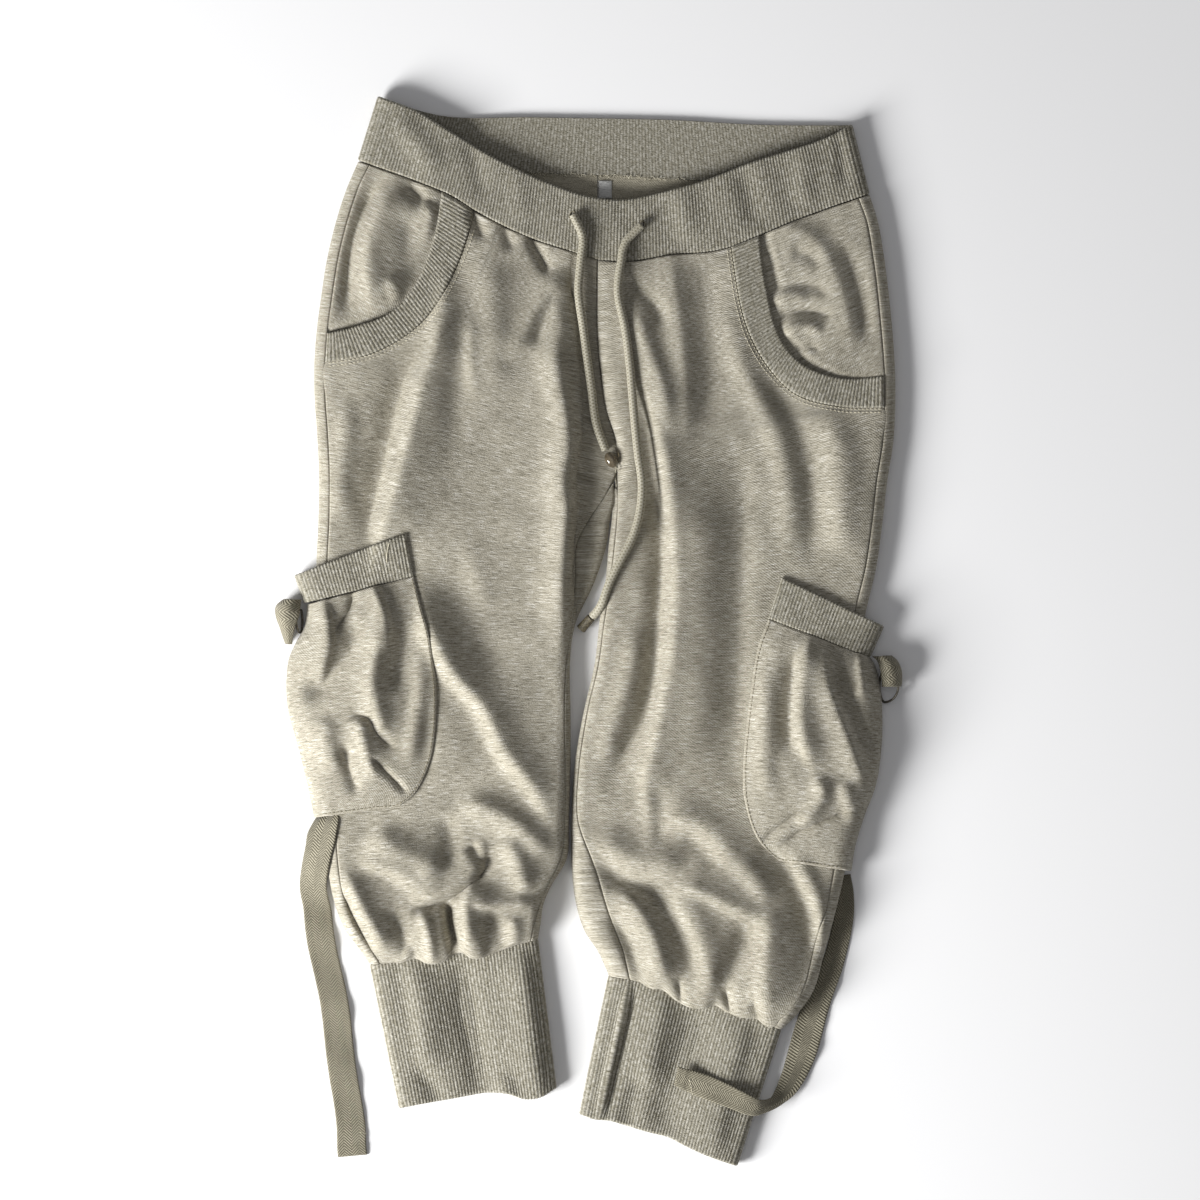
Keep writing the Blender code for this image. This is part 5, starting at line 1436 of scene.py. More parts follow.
def cuff_ring(half, share):
    """One ring of a cuff, flattened, at a share of the way from its seam to its open edge."""
    seam, foot = np.array(CUFF_SEAM[half], float), np.array(CUFF_FOOT[half], float)
    low = seam[0, 0] + (foot[0, 0] - seam[0, 0]) * share + RIB
    high = seam[-1, 0] + (foot[-1, 0] - seam[-1, 0]) * share - RIB
    ends = [0] + arc(CUFF_ROUND, 25, 90, 3)
    middle = np.linspace(low + CUFF_ROUND, high - CUFF_ROUND, 8)[1:-1]
    top_x = [low + d for d in ends] + list(middle) + [high - d for d in ends[::-1]]
    ring = []
    for side in (1, -1):
        xs = np.array(top_x if side > 0 else top_x[::-1][1:-1])
        place = (xs - low + RIB) / (high - low + 2 * RIB)
        at_seam = through(CUFF_SEAM[half], seam[0, 0] + place * (seam[-1, 0] - seam[0, 0])) - SEAM
        at_foot = through(CUFF_FOOT[half], foot[0, 0] + place * (foot[-1, 0] - foot[0, 0]))
        ys = at_seam + (at_foot - at_seam) * share
        from_edge = np.minimum(xs - low, high - xs)
        zs = RIB + CUFF_HOLLOW / 2 + side * (shoulder(from_edge, CUFF_ROUND) * CUFF_HOLLOW / 2)
        raised = shoulder(from_edge, 1.5 * CUFF_ROUND) * (side > 0)
        ring += list(zip(xs, ys, zs, raised))
    return ring


CUFF_FOLDS = {
    "left": (
        (((-134, -238), (-126, -280), (-120, -316), (-116, -340)), 3.0, 9, 14, 2),
        (((-98, -232), (-92, -275), (-84, -320), (-80, -362)), -3.0, 11, 12, 2),
        (((-54, -226), (-48, -275), (-42, -320), (-38, -362)), 3.4, 15, 8, 2),
        (((-128, -322), (-118, -340), (-108, -362)), -1.8, 8, 8, 2),
        (((-66, -330), (-62, -345), (-60, -362)), 1.8, 7, 7, 2),
    ),
    "right": (
        (((31, -256), (25, -289), (17, -322), (6, -370)), 2.2, 2.5, 3, 1.6),
        (((36, -262), (29, -294), (21, -328), (11, -372)), -2.0, 3, 4, 1.8),
        (((84, -268), (74, -310), (60, -350), (54, -384)), -2.8, 13, 14, 2),
        (((118, -280), (108, -320), (98, -360), (88, -404)), 3.2, 18, 9, 2),
        (((56, -262), (50, -300), (40, -344)), 2.4, 11, 9, 2),
        (((40, -330), (32, -352), (30, -378)), -1.8, 8, 8, 2),
    ),
}


def cuff(half):
    rings = [cuff_ring(half, s) for s in (0, 0.33, 0.66, 1)]
    return rib_tube(f"{half}_cuff", f"cuff_{half}", rings, 1, 4.2, CUFF_FOLDS[half], CUFF_GAIN,
                    0.8, CUFF_SINK)


SEWN["waistband"], ribs = waistband()
print("waistband:", ribs, "ribs round")
for half in HALVES:
    SEWN[f"cuff {half}"], ribs = cuff(half)
    print(half, "cuff:", ribs, "ribs round")

# %% [markdown]
# ## Hip pockets
#
# A curved rib strip edges each slanted pocket mouth, and the pocket's side piece shows inside
# it, sunken at the mouth and puffed towards the side seam.  The strip's ribs cross it, so they
# fan out round the curve.
# %% Hip pockets
SIDE_FOLDS = {
    "left": (
        (((-134, 342), (-148, 328), (-159, 310), (-164, 290), (-164, 262), (-160, 230)),
         5.2, 7, 17, 1.6),
        (((-148, 344), (-164, 324), (-175, 304), (-180, 284), (-181, 256), (-178, 228)),
         -4.2, 13, 6, 1.8),
        (((-140, 336), (-128, 327), (-112, 319)), -3.6, 5, 5, 1.8),
        (((-126, 332), (-118, 312), (-121, 286)), 3.0, 4, 8, 1.6),
        (((-136, 316), (-134, 292), (-140, 262)), -1.8, 8, 8, 2),
        (((-152, 268), (-144, 254), (-142, 240)), 2.0, 5, 6, 1.8),
    ),
    "right": (
        (((124, 290), (142, 302), (158, 301), (172, 290), (183, 272), (191, 248), (195, 224),
          (197, 196)), 2.2, 16, 7, 1.6),
        (((188, 296), (197, 274), (204, 248), (208, 214)), -1.6, 4, 8, 1.8),
        (((130, 290), (138, 270), (141, 248)), -2.2, 5, 5, 2),
        (((136, 250), (150, 259), (170, 258), (184, 250)), -1.3, 4, 6, 1.8),
        (((132, 246), (150, 252), (166, 250)), 1.7, 4, 5, 1.5),
        (((138, 232), (156, 240), (186, 236)), -2.2, 3, 5, 1.6),
        (((142, 222), (160, 229), (178, 226)), 2.6, 4, 4, 1.6),
        (((152, 210), (164, 214), (176, 210)), -1.0, 3, 4, 1.6),
        (((150, 286), (166, 282), (176, 272)), -1.4, 5, 7, 2),
    ),
}
SIDE_GAIN = 1.5         # how much deeper those lie than the first drawing of them
POCKET_DEPTH = 3.4      # how far the hip pocket's side piece sinks at the mouth
MOUTH_REACH = 13.0      # and how far in from the mouth it is level with the cloth again
FOLD_REACH = 9.0        # its folds rise over this, both at the mouth and at the side seam
TUCK = 0.45             # share of the trim's width that it runs under
TRIM_RAISE = 0.4        # how far the trim stands above the panel


def hip_trim(half):
    """Rib strip round the hip pocket's mouth, butted to the front panel's cut edge."""
    table = np.array(trim_rows(half))
    points = []
    for px, py, ox, oy in table:
        points.append([(px + (ox - px) * s, py + (oy - py) * s, 0.0) for s in (0, 0.5, 1)])
    points[0] = [(x, float(through(BAND_FOOT_FRONT, x)) - SEAM, z) for x, _, z in points[0]]
    rows = rib_columns(table[:, 2:]) + 1
    grid = filled(points, 1.6, rows=rows)
    grid[..., 2] = front_z(half, grid[..., 0], grid[..., 1]) + TRIM_RAISE
    piece = make_shell(f"{half}_hip_pocket_trim", grid, RIB)
    ribbed(piece, rows, grid.shape[1], along_rows=True)
    return wear(piece, RIB_KNIT, f"hip_pocket_trim_{half}")


def hip_side(half):
    """Side piece seen inside the hip pocket's mouth, running on under the trim."""
    inward = INWARD[half]
    top_y = BACK_RISE[half][0][0]
    table = np.array(trim_rows(half))
    foot_y = (table[-1, 1] + table[-1, 3]) / 2
    points = []
    for share in np.linspace(0, 1, 9):
        stop = np.array([share * (len(table) - 1)])
        px, py, ox, oy = (float(v) for v in curve(np.arange(len(table)), table, stop)[0])
        tuck_x, tuck_y = px + (ox - px) * TUCK, py + (oy - py) * TUCK
        y_side = top_y + (foot_y - top_y) * share
        x_side = float(side_x(half, y_side)) + inward * (SIDE_WRAP + 2 * SEAM)
        length = math.hypot(x_side - tuck_x, y_side - tuck_y)
        hidden = math.hypot(ox - tuck_x, oy - tuck_y)
        row = []
        for across in (0, 0.1, 0.2, 0.35, 0.5, 0.65, 0.8, 0.92, 1):
            x = tuck_x + (x_side - tuck_x) * across
            y = tuck_y + (y_side - tuck_y) * across
            if share == 0:
                y = float(through(BAND_FOOT_FRONT, x)) - SEAM
            row.append((x, y, across * length - hidden, (x_side - x) * inward * -1))
        points.append(row)
    grid = filled(points, 1.9)
    x, y, open_by, from_side = (grid[..., k] for k in range(4))
    at_side = eased(1 - np.abs(from_side) / FOLD_REACH) * eased((open_by - 10) / 12)
    drop = POCKET_DEPTH * (1 - eased(open_by / MOUTH_REACH)) * (1 - at_side)
    folds = SIDE_GAIN * fold_height(x, y, SIDE_FOLDS[half]) * eased(open_by / FOLD_REACH)
    z = front_z(half, x, y) - drop + folds * (1 - at_side)
    return sew(f"{half}_hip_pocket_side", np.stack([x, y, z], axis=-1), f"hip_pocket_side_{half}")


for half in HALVES:
    SEWN[f"trim {half}"] = hip_trim(half)
    SEWN[f"side {half}"] = hip_side(half)
    print(half, "hip pocket:", len(SEWN[f"trim {half}"].data.polygons), "faces in its trim")

# %% [markdown]
# ## Cargo pockets
#
# Each pocket is a pleated bag that wraps round the side of the leg, gathered into a straight rib
# band at the top.  It stands off the leg by its puff, and its pleats and darts are added to that
# height on the upper side only.
# %% Cargo pockets
POCKET_BAND = 2.0       # wall of a cargo pocket's rib band
UNDER_ROUND = 7.0       # reach of the rounding under a cargo pocket's outer fold
HELD_IN = 15.0          # the pocket's outer part stands on the leg's height this far in


def cargo_section(half, row, wall):
    """One row of a cargo pocket: place, height if hidden, puff, rise at the fold, share on top."""
    inner_x, inner_y, outer_x, outer_y, puff = row
    inward = INWARD[half]
    edge = outer_x + inward * wall
    xs = list(np.linspace(inner_x, edge + inward * CARGO_ROUND, 8))
    xs += [edge + inward * d for d in arc(CARGO_ROUND, 90, 0, 4)[1:]]
    under = [edge + inward * d for d in arc(UNDER_ROUND, 30, 90, 3)]
    under += list(np.linspace(under[-1], CARGO_WRAP[half], 4)[1:])
    points = []
    for x in xs:
        share = (x - inner_x) / (edge - inner_x)
        y = inner_y + (outer_y - inner_y) * share
        lift = puff * math.sin(math.pi * min(1.0, share * 1.05)) ** 0.6
        rise = float(shoulder((x - edge) * inward, CARGO_ROUND))
        points.append((x, y, CARGO_FOLD_Z, lift, rise, 1.0))
    for x in under:
        share = (x - edge) * inward / ((CARGO_WRAP[half] - edge) * inward)
        y = outer_y + (inner_y - outer_y) * share
        rise = 1 - float(shoulder((x - edge) * inward, UNDER_ROUND))
        points.append((x, y, wall + (CARGO_FOLD_Z - wall) * rise, 0.0, 0.0, 0.0))
    return points


def cargo_grid(half, rows, spacing, folds, columns=None, floor=JERSEY):
    """A cargo pocket piece, filled in and lifted off the leg."""
    grid = filled(rows, spacing, columns=columns)
    x, y, hidden, lift, rise, on_top = (grid[..., k] for k in range(6))
    inward = INWARD[half]
    held = np.maximum(x * inward, (side_x(half, y) + inward * HELD_IN) * inward) * inward
    base = front_top(half, held, y) + LIFT
    on_top, rise = np.clip(on_top, 0, 1), np.clip(rise, 0, 1)
    damp = shoulder(np.clip(lift, 0, 4), 4.0)
    top = base + lift + BAG_GAIN * fold_height(x, y, folds) * damp
    raised = CARGO_FOLD_Z + (top - CARGO_FOLD_Z) * rise
    z = hidden + (raised - hidden) * on_top
    return np.stack([x, y, np.maximum(z, floor)], axis=-1)


def cargo_band(half):
    top, seam = CARGO_BAND[half]
    middle = [(a + b) / 2 for a, b in zip(top, seam)]
    rows = [cargo_section(half, r, POCKET_BAND) for r in (top, middle, seam)]
    columns = rib_columns(np.array(rows[1])[:, :2]) + 1
    grid = cargo_grid(half, rows, 3.0, (), columns=columns, floor=POCKET_BAND + RIB_DEPTH)
    piece = make_shell(f"{half}_cargo_pocket_band", grid, POCKET_BAND, "out")
    ribbed(piece, grid.shape[0], columns)
    return wear(piece, RIB_KNIT, f"cargo_pocket_band_{half}")


def cargo_bag(half):
    table = [list(row) for row in CARGO_BAG[half]]
    table[0][1] -= 2 * SEAM
    table[0][3] -= 2 * SEAM
    rows = [cargo_section(half, row, JERSEY) for row in table]
    grid = cargo_grid(half, rows, 1.7, BAG_FOLDS[half])
    return sew(f"{half}_cargo_pocket_bag", grid, f"cargo_pocket_bag_{half}", facing="out")


for half in HALVES:
    SEWN[f"band {half}"] = cargo_band(half)
    SEWN[f"bag {half}"] = cargo_bag(half)
    print(half, "cargo bag:", len(SEWN[f"bag {half}"].data.polygons), "faces")

# %% [markdown]
# ## Tape loops, rings and long tapes
#
# A short tape folds out of each cargo pocket's seam and holds a wire ring.  The long tape hangs
# free from the pocket's foot.  On the right it twists once and its hemmed end lies on the cuff.
# %% Tapes and rings
HEM_LENGTH = 9.0
TAPE_RIPPLE = 0.6       # half the height of the long tapes' low waves


def tape_loop(half):
    """Short tape folded outwards from the cargo pocket's seam and back under its ring."""
    points = []
    for y, x_in, x_out, z_in, z_top in TAPE_LOOP[half]:
        reach, rise = x_out - x_in, z_top - LOOP_FOOT
        row = [(x_in, y, z_in), (x_in + reach * 0.2, y, (z_in + z_top) / 2)]
        for along, height in ((0.48, 1), (0.78, 0.87), (1, 0.5), (0.88, 0.16), (0.66, 0.02),
                              (0.5, 0)):
            row.append((x_in + reach * along, y, LOOP_FOOT + rise * height))
        points.append(row)
    grid = filled(np.array(points, float).transpose(1, 0, 2), 0.9)
    piece = make_shell(f"{half}_tape_loop", grid, TAPE, "out", materials=(TWILL,))
    return wear(piece, TWILL, f"tape_loop_{half}")


def long_tape(half):
    """Free length of twill tape, from under the cargo pocket's foot to its hemmed end."""
    points = []
    for x1, y1, z1, x2, y2, z2 in LONG_TAPE[half]:
        points.append([(x1 + (x2 - x1) * s, y1 + (y2 - y1) * s, z1 + (z2 - z1) * s)
                       for s in (0, 0.33, 0.67, 1)])
    grid = filled(points, 1.3)
    steps = grid_steps(grid, 0)
    from_end = steps.sum() - run_of(steps)
    across = np.linspace(-1, 1, grid.shape[1])[None, :]
    along = from_end[:, None]
    swing = np.sin(along / 8.5 + 1.1 * across) + 0.6 * np.sin(along / 4.1 - 1.7 * across + 1.0)
    ends = eased(from_end / 24) * eased((from_end.max() - from_end - 60) / 30)
    grid[..., 2] += TAPE_RIPPLE * (swing + 1.6) * ends[:, None]
    grid[..., 0] += 1.1 * np.sin(along / 15.0) * ends[:, None]
    hem = 0.7 * eased((HEM_LENGTH - from_end) / 0.8) * (1 - 0.4 * eased((1.5 - from_end) / 1.5))
    piece = make_shell(f"{half}_long_tape", grid, TAPE, materials=(TWILL,), relief=hem[:, None])
    return wear(piece, TWILL, f"long_tape_{half}")


def wire_ring(half):
    """Rounded D-shaped wire ring held in the tape loop, its inner side low under the pocket."""
    cx, cy, out_reach, in_reach, along, z_in, z_out = WIRE_RING[half]
    outward = -INWARD[half]
    ring = []
    for turn in np.linspace(0, 2 * math.pi, 72, endpoint=False):
        reach = math.cos(turn) * (out_reach if math.cos(turn) > 0 else in_reach)
        raised = (reach + in_reach) / (out_reach + in_reach)
        ring.append((cx + outward * reach, cy + along * math.sin(turn),
                     z_in + (z_out - z_in) * raised))
    return wear(round_rod(f"{half}_wire_ring", ring, WIRE_RADIUS, 10, NICKEL, closed=True),
                NICKEL, f"wire_ring_{half}")


def rod_sides(path, closed):
    """Sideways and upward directions along a path."""
    if closed:
        tangent = np.roll(path, -1, axis=0) - np.roll(path, 1, axis=0)
    else:
        tangent = np.gradient(path, axis=0)
    tangent /= np.linalg.norm(tangent, axis=1, keepdims=True)
    side = np.cross(tangent, (0.0, 0.0, 1.0))
    side /= np.maximum(np.linalg.norm(side, axis=1, keepdims=True), 1e-6)
    return side, np.cross(side, tangent)


def round_rod(name, points, radius, around, material, closed=False, relief=0.0):
    """A round rod or cord along points in millimetres, its ends closed by a small dome."""
    path = np.asarray(points, float)
    side, lift = rod_sides(path, closed)
    turns = np.linspace(0, 2 * math.pi, around, endpoint=False)[None, :, None]
    size = np.full((len(path), around), float(radius)) + relief
    if not closed:
        size[[0, -1]] *= 0.75
    ring = side[:, None] * np.cos(turns) + lift[:, None] * np.sin(turns)
    verts = ((path[:, None] + ring * size[..., None]).reshape(-1, 3) * MM).tolist()
    total = len(verts)
    index = np.arange(total).reshape(-1, around)
    here, after = index[:-1], index[1:]
    if closed:
        here, after = index, np.roll(index, -1, axis=0)
    quads = np.stack([after, np.roll(after, -1, axis=1), np.roll(here, -1, axis=1), here],
                     axis=-1).reshape(-1, 4)
    faces = quads.tolist()
    if not closed:
        verts += [(path[0] * MM).tolist(), (path[-1] * MM).tolist()]
        for k in range(around):
            beside_k = (k + 1) % around
            faces.append([total, int(index[0, k]), int(index[0, beside_k])])
            faces.append([total + 1, int(index[-1, beside_k]), int(index[-1, k])])
    mesh = bpy.data.meshes.new(name)
    mesh.from_pydata(verts, [], faces)
    down = np.append(run_of(line_steps(path)), [0, 0])
    flat = []
    for loop in mesh.loops:
        row, turn = divmod(loop.vertex_index, around)
        flat += [turn * 2 * math.pi * radius / around * MM, down[min(row, len(down) - 1)] * MM]
    mesh.uv_layers.new(name="cloth").data.foreach_set("uv", flat)
    mesh.materials.append(material)
    mesh.update()
    mesh.shade_smooth()
    return placed(name, mesh)


for half in HALVES:
    SEWN[f"loop {half}"] = tape_loop(half)
    SEWN[f"tape {half}"] = long_tape(half)
    SEWN[f"ring {half}"] = wire_ring(half)
    print(half, "long tape:", len(SEWN[f"tape {half}"].data.polygons), "faces")

# %% [markdown]
# ## Drawcord
#
# The cord comes out of two overcast slits in the waistband and lies down the front.  It follows
# the route drawn in the tables, lifted wherever a fold of the cloth would touch it.  Its braid is
# two sets of strands that cross, each a shallow wave round the cord.
# %% Cords, tip and bead
def ground_at(points, pieces):
    """Height in mm of the highest of some pieces under each point, or 0 where there's none."""
    heights = np.zeros(len(points))
    for k, point in enumerate(np.asarray(points, float)):
        above = Vector((point[0] * MM, point[1] * MM, 0.2))
        for piece in pieces:
            hit, place, _, _ = piece.ray_cast(above, Vector((0.0, 0.0, -1.0)))
            if hit:
                heights[k] = max(heights[k], place.z / MM)
    return heights


BRAID_STEP = 2.6        # mm along the cord from one strand to the next
STRANDS = 4             # strands each way
CORD_SIDES = 28
CORD_GAP = 0.25         # clearance between the cord and the cloth
TIP_SIDES = 24


def drawcord(half, pieces):
    route = smooth_route(DRAWCORD[half], 40)
    floor = ground_at(route, pieces) + CORD_RADIUS + CORD_GAP
    floor[:2] = 0
    lifted = np.maximum(route[:, 2], floor)
    for _ in range(3):
        lifted[1:-1] = np.maximum(lifted[1:-1], (lifted[:-2] + lifted[2:]) / 2 - 0.6)
    route[:, 2] = lifted
    fine = smooth_route(route, 12 * len(route))
    down = run_of(line_steps(fine))
    turns = np.linspace(0, 2 * math.pi, CORD_SIDES, endpoint=False)[None, :]
    way = down[:, None] * 2 * math.pi / BRAID_STEP
    strand = np.maximum(np.cos(STRANDS * turns + way), np.cos(STRANDS * turns - way))
    piece = round_rod(f"{half}_drawcord", fine, CORD_RADIUS, CORD_SIDES, BRAID,
                      relief=0.11 * (strand - 0.5))
    raised = np.append(np.clip(strand, 0, 1).ravel(), [0.5, 0.5])
    set_float(piece, "strand", raised)
    wear(piece, BRAID, f"drawcord_{half}")
    return piece, route, down[-1]


def cord_tip(start, end):
    """Wrapped end of the right cord, a little wider towards its end."""
    grow = np.linspace(0, 1, 44)
    route = start + (end - start) * grow[:, None]
    widen = 0.15 + 0.45 * grow ** 2 + 0.16 * np.sin(np.arange(len(grow)) * 2.1)
    widen[0], widen[-1] = 0.0, 0.2
    piece = round_rod("right_cord_tip", route, CORD_RADIUS, TIP_SIDES, TIP_PAINTED_SHADE,
                      relief=widen[:, None])
    return wear(piece, TIP_PAINTED_SHADE, "cord_tip_right")


def cord_bead(centre):
    """Egg-shaped stopper at the end of the left cord, its long axis along the cord."""
    bpy.ops.mesh.primitive_uv_sphere_add(segments=40, ring_count=24, radius=BEAD_RADIUS * MM)
    bead = bpy.context.object
    bead.name = bead.data.name = "left_cord_bead"
    lay = Matrix.Rotation(math.radians(30), 4, "Z") @ Matrix.Rotation(math.radians(90), 4, "X")
    place = Matrix.Translation([v * MM for v in centre])
    bead.data.transform(place @ lay @ Matrix.Diagonal((1.0, 1.0, 1.35, 1.0)))
    bead.data.shade_smooth()
    return wear(bead, SMOKY, "cord_bead_left")


bpy.context.view_layer.update()
ground = [SEWN["waistband"], SEWN["front left"], SEWN["front right"]]
CORD_ROUTES = {}
for half in HALVES:
    SEWN[f"cord {half}"], route, length = drawcord(half, ground)
    CORD_ROUTES[half] = (route, length)
    print(half, "cord:", round(length), "mm long")
right_end = CORD_ROUTES["right"][0][-1]
tip_shift = right_end - np.array(DRAWCORD["right"][-1])
SEWN["tip"] = cord_tip(np.array(CORD_TIP[0]) + tip_shift, np.array(CORD_TIP[1]) + tip_shift * 0.6)
left_end = CORD_ROUTES["left"][0][-1]
SEWN["bead"] = cord_bead(np.array(BEAD) + (left_end - np.array(DRAWCORD["left"][-1])))

# %% [markdown]
# ## Label, slits, stitches and thread ends
#
# Small sewing is what tells the eye how big the garment is.  Each slit is a flat oval of painted
# shadow with an overcast rim, topstitching runs beside the pocket seams, and the cut edge under
# the back waistband is overlocked with a fuzzy, ruffled thread.
# %% Small sewing
def inner_label():
    """Small bare label hanging from the back waistband's seam, on the back panel's inside."""
    (x0, y0), (x1, y1) = LABEL
    points = []
    for r in range(4):
        y = y0 + (y1 - y0) * r / 3
        points.append([(x0 + (x1 - x0) * c / 3, y, JERSEY + SEAM + 0.25 * r + 0.5 * (c % 3 > 0))
                       for c in range(4)])
    piece = make_shell("bare_label", filled(points, 0.8), 0.8, materials=(SATIN,))
    return wear(piece, SATIN, "inner_label")


def laid_line(points, pieces, above=0.12, step=1.0):
    """A drawn line laid on the cloth: x, y points get the height of what is under them."""
    flat = np.array(points, float)[:, :2]
    line = smooth_route(flat, max(4, round(line_steps(flat).sum() / step)))
    return np.column_stack([line, ground_at(line, pieces) + above])


def beside(points, distance):
    """The line a distance to the left of a drawn line."""
    line = np.array(points, float)[:, :2]
    along = np.gradient(line, axis=0)
    along /= np.linalg.norm(along, axis=1, keepdims=True)
    return line + np.column_stack([-along[:, 1], along[:, 0]]) * distance


def slit(name, x, y, turn):
    """Slit in the waistband: a flat oval of painted shadow with a rim of overcasting."""
    bpy.context.view_layer.update()
    height = float(ground_at([(x, y)], [SEWN["waistband"]])[0])
    c, s = math.cos(math.radians(turn)), math.sin(math.radians(turn))
    rim, hole = [], []
    for a in np.linspace(0, 2 * math.pi, 26):
        u, v = SLIT_SIZE[0] * math.cos(a), SLIT_SIZE[1] * math.sin(a)
        rim.append((x + u * c - v * s, y + u * s + v * c, height + 0.25))
        hole.append((x + 0.9 * (u * c - v * s), y + 0.9 * (u * s + v * c), height + 0.12))
    mesh = bpy.data.meshes.new(name)
    # The hole is a flat dark oval: painted shadow where the slit opens.
    mesh.from_pydata([tuple(v * MM for v in p) for p in hole[:-1]], [], [range(len(hole) - 1)])
    wear(placed(name, mesh), SLIT_SHADOW_PAINT)
    stitches(f"{name}_rim", rim, pitch=0.8, length=1.6, thread=0.36, material=DARK_THREAD)


SLIT_SIZE = (3.1, 1.7)          # half the length and half the width of a cord slit
# A dark sheet of painted shadow for the slit's hole.
SLIT_SHADOW_PAINT = wound_material("shadowed slit in rib knit", "#2c281e", "#17150f", 0.001, 0.9)
SEWN["label"] = inner_label()
slit("left_cord_slit", -12.4, 312.6, 62)
slit("right_cord_slit", 41.0, 305.0, 104)

for half in HALVES:
    inward = INWARD[half]
    edge = [(row[0], row[1]) for row in trim_rows(half)]
    panel, bag = SEWN[f"front {half}"], SEWN[f"bag {half}"]
    for index, distance in enumerate((0.9, 3.4)):
        line = laid_line(beside(edge, distance * inward), [panel])
        stitches(f"{half}_hip_pocket_stitches_{index + 1}", line[3:-3])
    seam = [(row[0], row[1]) for row in CARGO_BAG[half]]
    foot = CARGO_BAG[half][-1]
    seam += [(foot[0] + (foot[2] - foot[0]) * s, foot[1] + (foot[3] - foot[1]) * s)
             for s in (0.3, 0.6, 0.9)]
    line = laid_line(beside(seam, -1.7 * inward), [bag])
    stitches(f"{half}_cargo_pocket_stitches", line[3:-3], material=DARK_THREAD)
    print(half, "pocket seams stitched")

edge = [(x, y - 0.6) for x, y in BAND_FOOT_BACK[1:-1]]
line = laid_line(edge, [SEWN["back left"], SEWN["back right"]], above=0.6, step=2.0)
overlock = through_tree(drawn_line("overlocked_back_edge", line), RUFFLED, THREAD)
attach(overlock, "root")
print("overlock:", len(overlock.data.polygons), "faces")


def loose_end(name, points, radius, material):
    """A short stray end of thread."""
    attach(round_rod(name, smooth_route(points, 24), radius, 6, material), "root")


band_top = ground_at([(-149, 67), (-150.5, 61), (-151, 52)], [SEWN["band left"]])
loose_end("loose_thread_on_the_left_pocket", [(-149, 67, band_top[0] + 0.5),
          (-150.6, 61, band_top[1] + 0.8), (-151, 52, band_top[2] + 0.5)], 0.3, THREAD)
for k, (dx, dy, dz) in enumerate(((2.4, -3.8, 0.4), (0.6, -4.6, 1.0), (3.2, -2.6, 1.4))):
    x, y, z = np.array(BEAD) + (3.0, -5.0, 0.5)
    loose_end(f"frayed_end_{k + 1}", [(x, y, z), (x + dx * 0.5, y + dy * 0.6, z + dz),
              (x + dx, y + dy, z + dz * 0.4)], 0.22, THREAD)
for half, spots in (("left", ((-167, -376), (-171, -375))), ("right", ((76, -336), (78, -346)))):
    tape = SEWN[f"tape {half}"]
    line = laid_line(spots, [tape], above=0.2)
    stitches(f"{half}_tape_end_stitches", line, pitch=2.4, length=2.0)

# %% [markdown]
# ## What each sheet was cut to
#
# Every sewn piece is a sheet of cloth, cut to a width and length before it was gathered and laid
# down.  The flat area is the cut's own, all round where the piece is a tube.
# %% Sheets and their cuts
def cloth_area(piece):
    """Half the surface of a thin shell, in square metres."""
    areas = np.zeros(len(piece.data.polygons))
    piece.data.polygons.foreach_get("area", areas)
    return float(areas.sum() / 2)


SHEETS = {
    "front left": (0.215, 0.60), "front right": (0.245, 0.62),
    "back left": (0.27, 0.66), "back right": (0.29, 0.68),
    "waistband": (0.76, 0.052), "cuff left": (0.26, 0.112), "cuff right": (0.27, 0.114),
    "trim left": (0.024, 0.175), "trim right": (0.028, 0.205),
    "side left": (0.085, 0.160), "side right": (0.095, 0.160),
    "band left": (0.185, 0.034), "band right": (0.185, 0.034),
    "bag left": (0.20, 0.195), "bag right": (0.205, 0.20),
    "loop left": (0.036, 0.045), "loop right": (0.026, 0.045),
    "tape left": (0.023, 0.262), "tape right": (0.022, 0.262), "label": (0.011, 0.0145),
}
for key, (width, length) in SHEETS.items():
    area = cloth_area(SEWN[key])
    share = area / (width * length)
    print(f"{key}: {area * 1e4:.0f} square cm, {share:.2f} of its {width} x {length} m cut")

for half, with_piece in (("left", "left_cord_bead"), ("right", "right_cord_tip")):
    route, length = CORD_ROUTES[half]

# %% [markdown]
# ## Table, camera and light
#
# The garment lies on a plain pale table.  The camera looks straight down from far away through
# a very long lens, so there is almost no perspective.
# A broad key light comes in low from the lower left, so every fold has a bright side and a
# shaded side, and a large overhead panel and a pale sky fill the shadows.
# %% Stage
TABLE_REACH = 40.0      # metres from the middle of the table to each side
TABLE_TOP = -0.0004


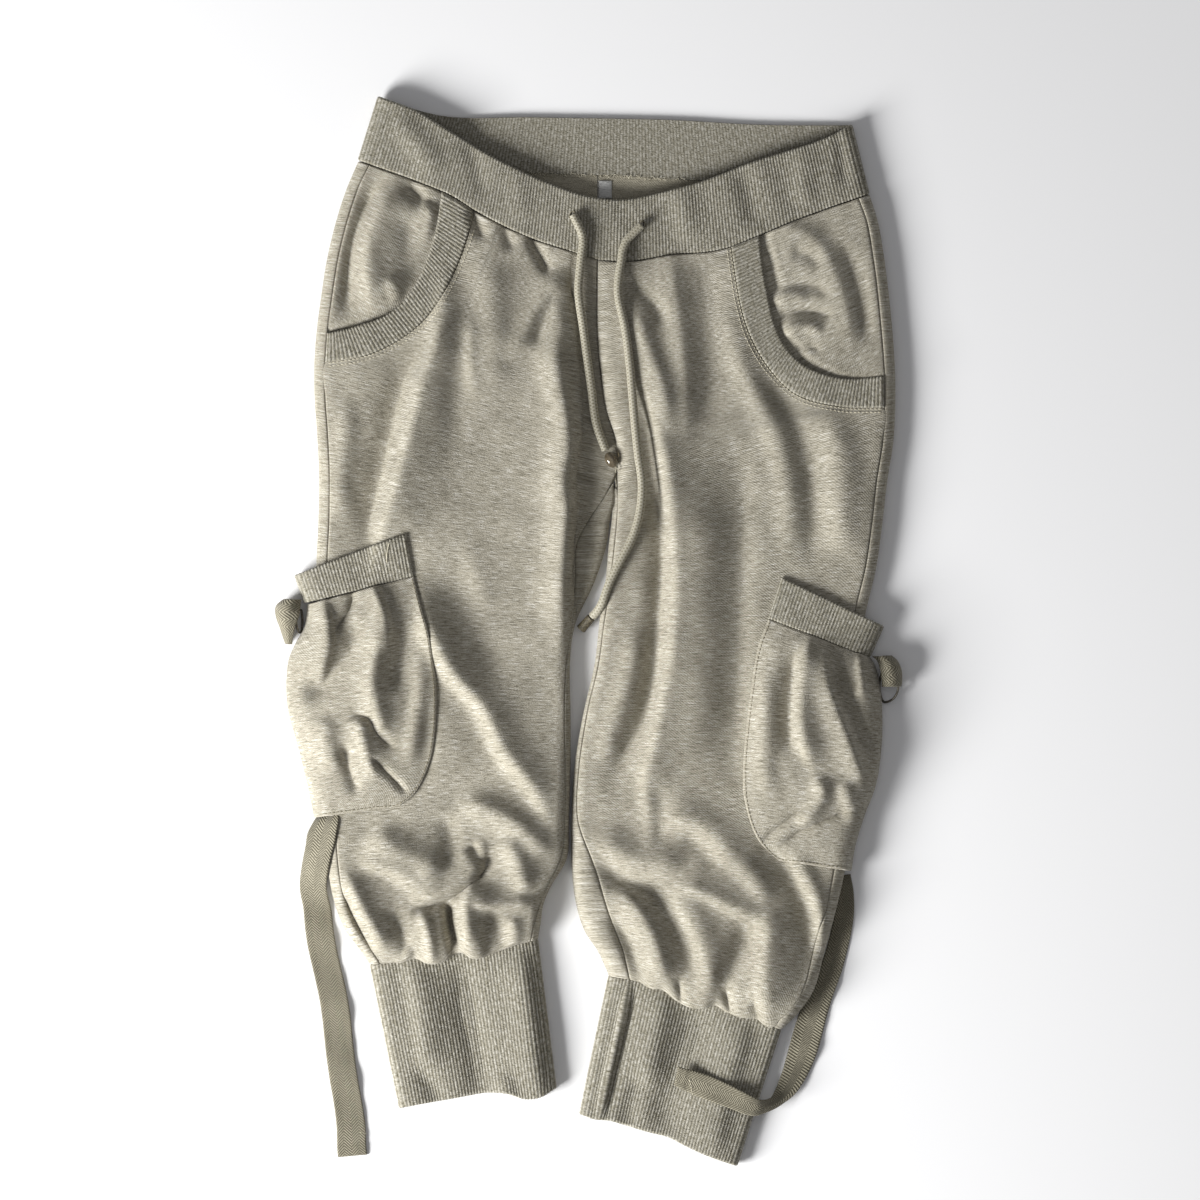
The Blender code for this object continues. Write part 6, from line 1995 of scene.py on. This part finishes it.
def stage_floor():
    mesh = bpy.data.meshes.new("pale_table")
    corners = [(x * TABLE_REACH, y * TABLE_REACH, TABLE_TOP)
               for x, y in ((-1, -1), (1, -1), (1, 1), (-1, 1))]
    mesh.from_pydata(corners, [], [(0, 1, 2, 3)])
    mesh.materials.append(new_material("matt white table", Roughness=0.8, Specular_IOR_Level=0.1,
                                       Base_Color=(0.93, 0.93, 0.93, 1.0))[0])
    placed("pale_table", mesh)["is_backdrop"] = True


def area_light(name, place, size, power):
    """A square white lamp that faces the middle of the garment and isn't seen itself."""
    lamp = bpy.data.lights.new(name, "AREA")
    lamp.shape = "SQUARE"
    lamp.size = size
    lamp.energy = power
    thing = placed(name, lamp)
    thing.location = place
    thing.rotation_euler = (-Vector(place)).to_track_quat("-Z", "Y").to_euler()
    thing.visible_camera = False


KEY_POWER = 150.0       # watts
FILL_POWER = 4.0
SKY = 0.2               # strength of the world's light
stage_floor()
area_light("key", (-2.00, -1.21, 1.05), 1.1, KEY_POWER)
area_light("overhead", (0.3, 0.4, 2.6), 2.4, FILL_POWER)
world = bpy.data.worlds.new("pale studio")
bpy.context.scene.world = world
world.use_nodes = True
world.node_tree.nodes["Background"].inputs["Color"].default_value = linear("#fbfbff")
world.node_tree.nodes["Background"].inputs["Strength"].default_value = SKY

VIEW_WIDTH = 0.9        # metres of table across the frame
LENS_MM = 500.0
lens = bpy.data.cameras.new("straight_down")
lens.lens = LENS_MM
lens.dof.use_dof = False
camera = placed("straight_down", lens)
camera.location = (0.0086, 0.024, VIEW_WIDTH * LENS_MM / lens.sensor_width)
bpy.context.scene.camera = camera
bpy.context.scene.view_settings.view_transform = "Standard"
print("camera", tuple(round(v, 3) for v in camera.location), "lens", LENS_MM, "mm")

# %% [markdown]
# ## How much the garment grew
#
# Both boxes are printed, and the triangles are counted piece by piece.
# %% Sizes and finish
shown = [list(corner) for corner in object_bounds()]
for axis, label in enumerate("XYZ"):
    was = cad_box[1][axis] - cad_box[0][axis]
    now = shown[1][axis] - shown[0][axis]
    print(f"{label}: {was * 1000:.1f} mm in CAD, {now * 1000:.1f} mm dressed")
total = 0
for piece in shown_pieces():
    if piece.type == "MESH":
        count = sum(len(p.vertices) - 2 for p in piece.data.polygons)
        total += count
        if count > 60000:
            print(piece.name, count, "triangles")
print("all pieces:", total, "triangles")
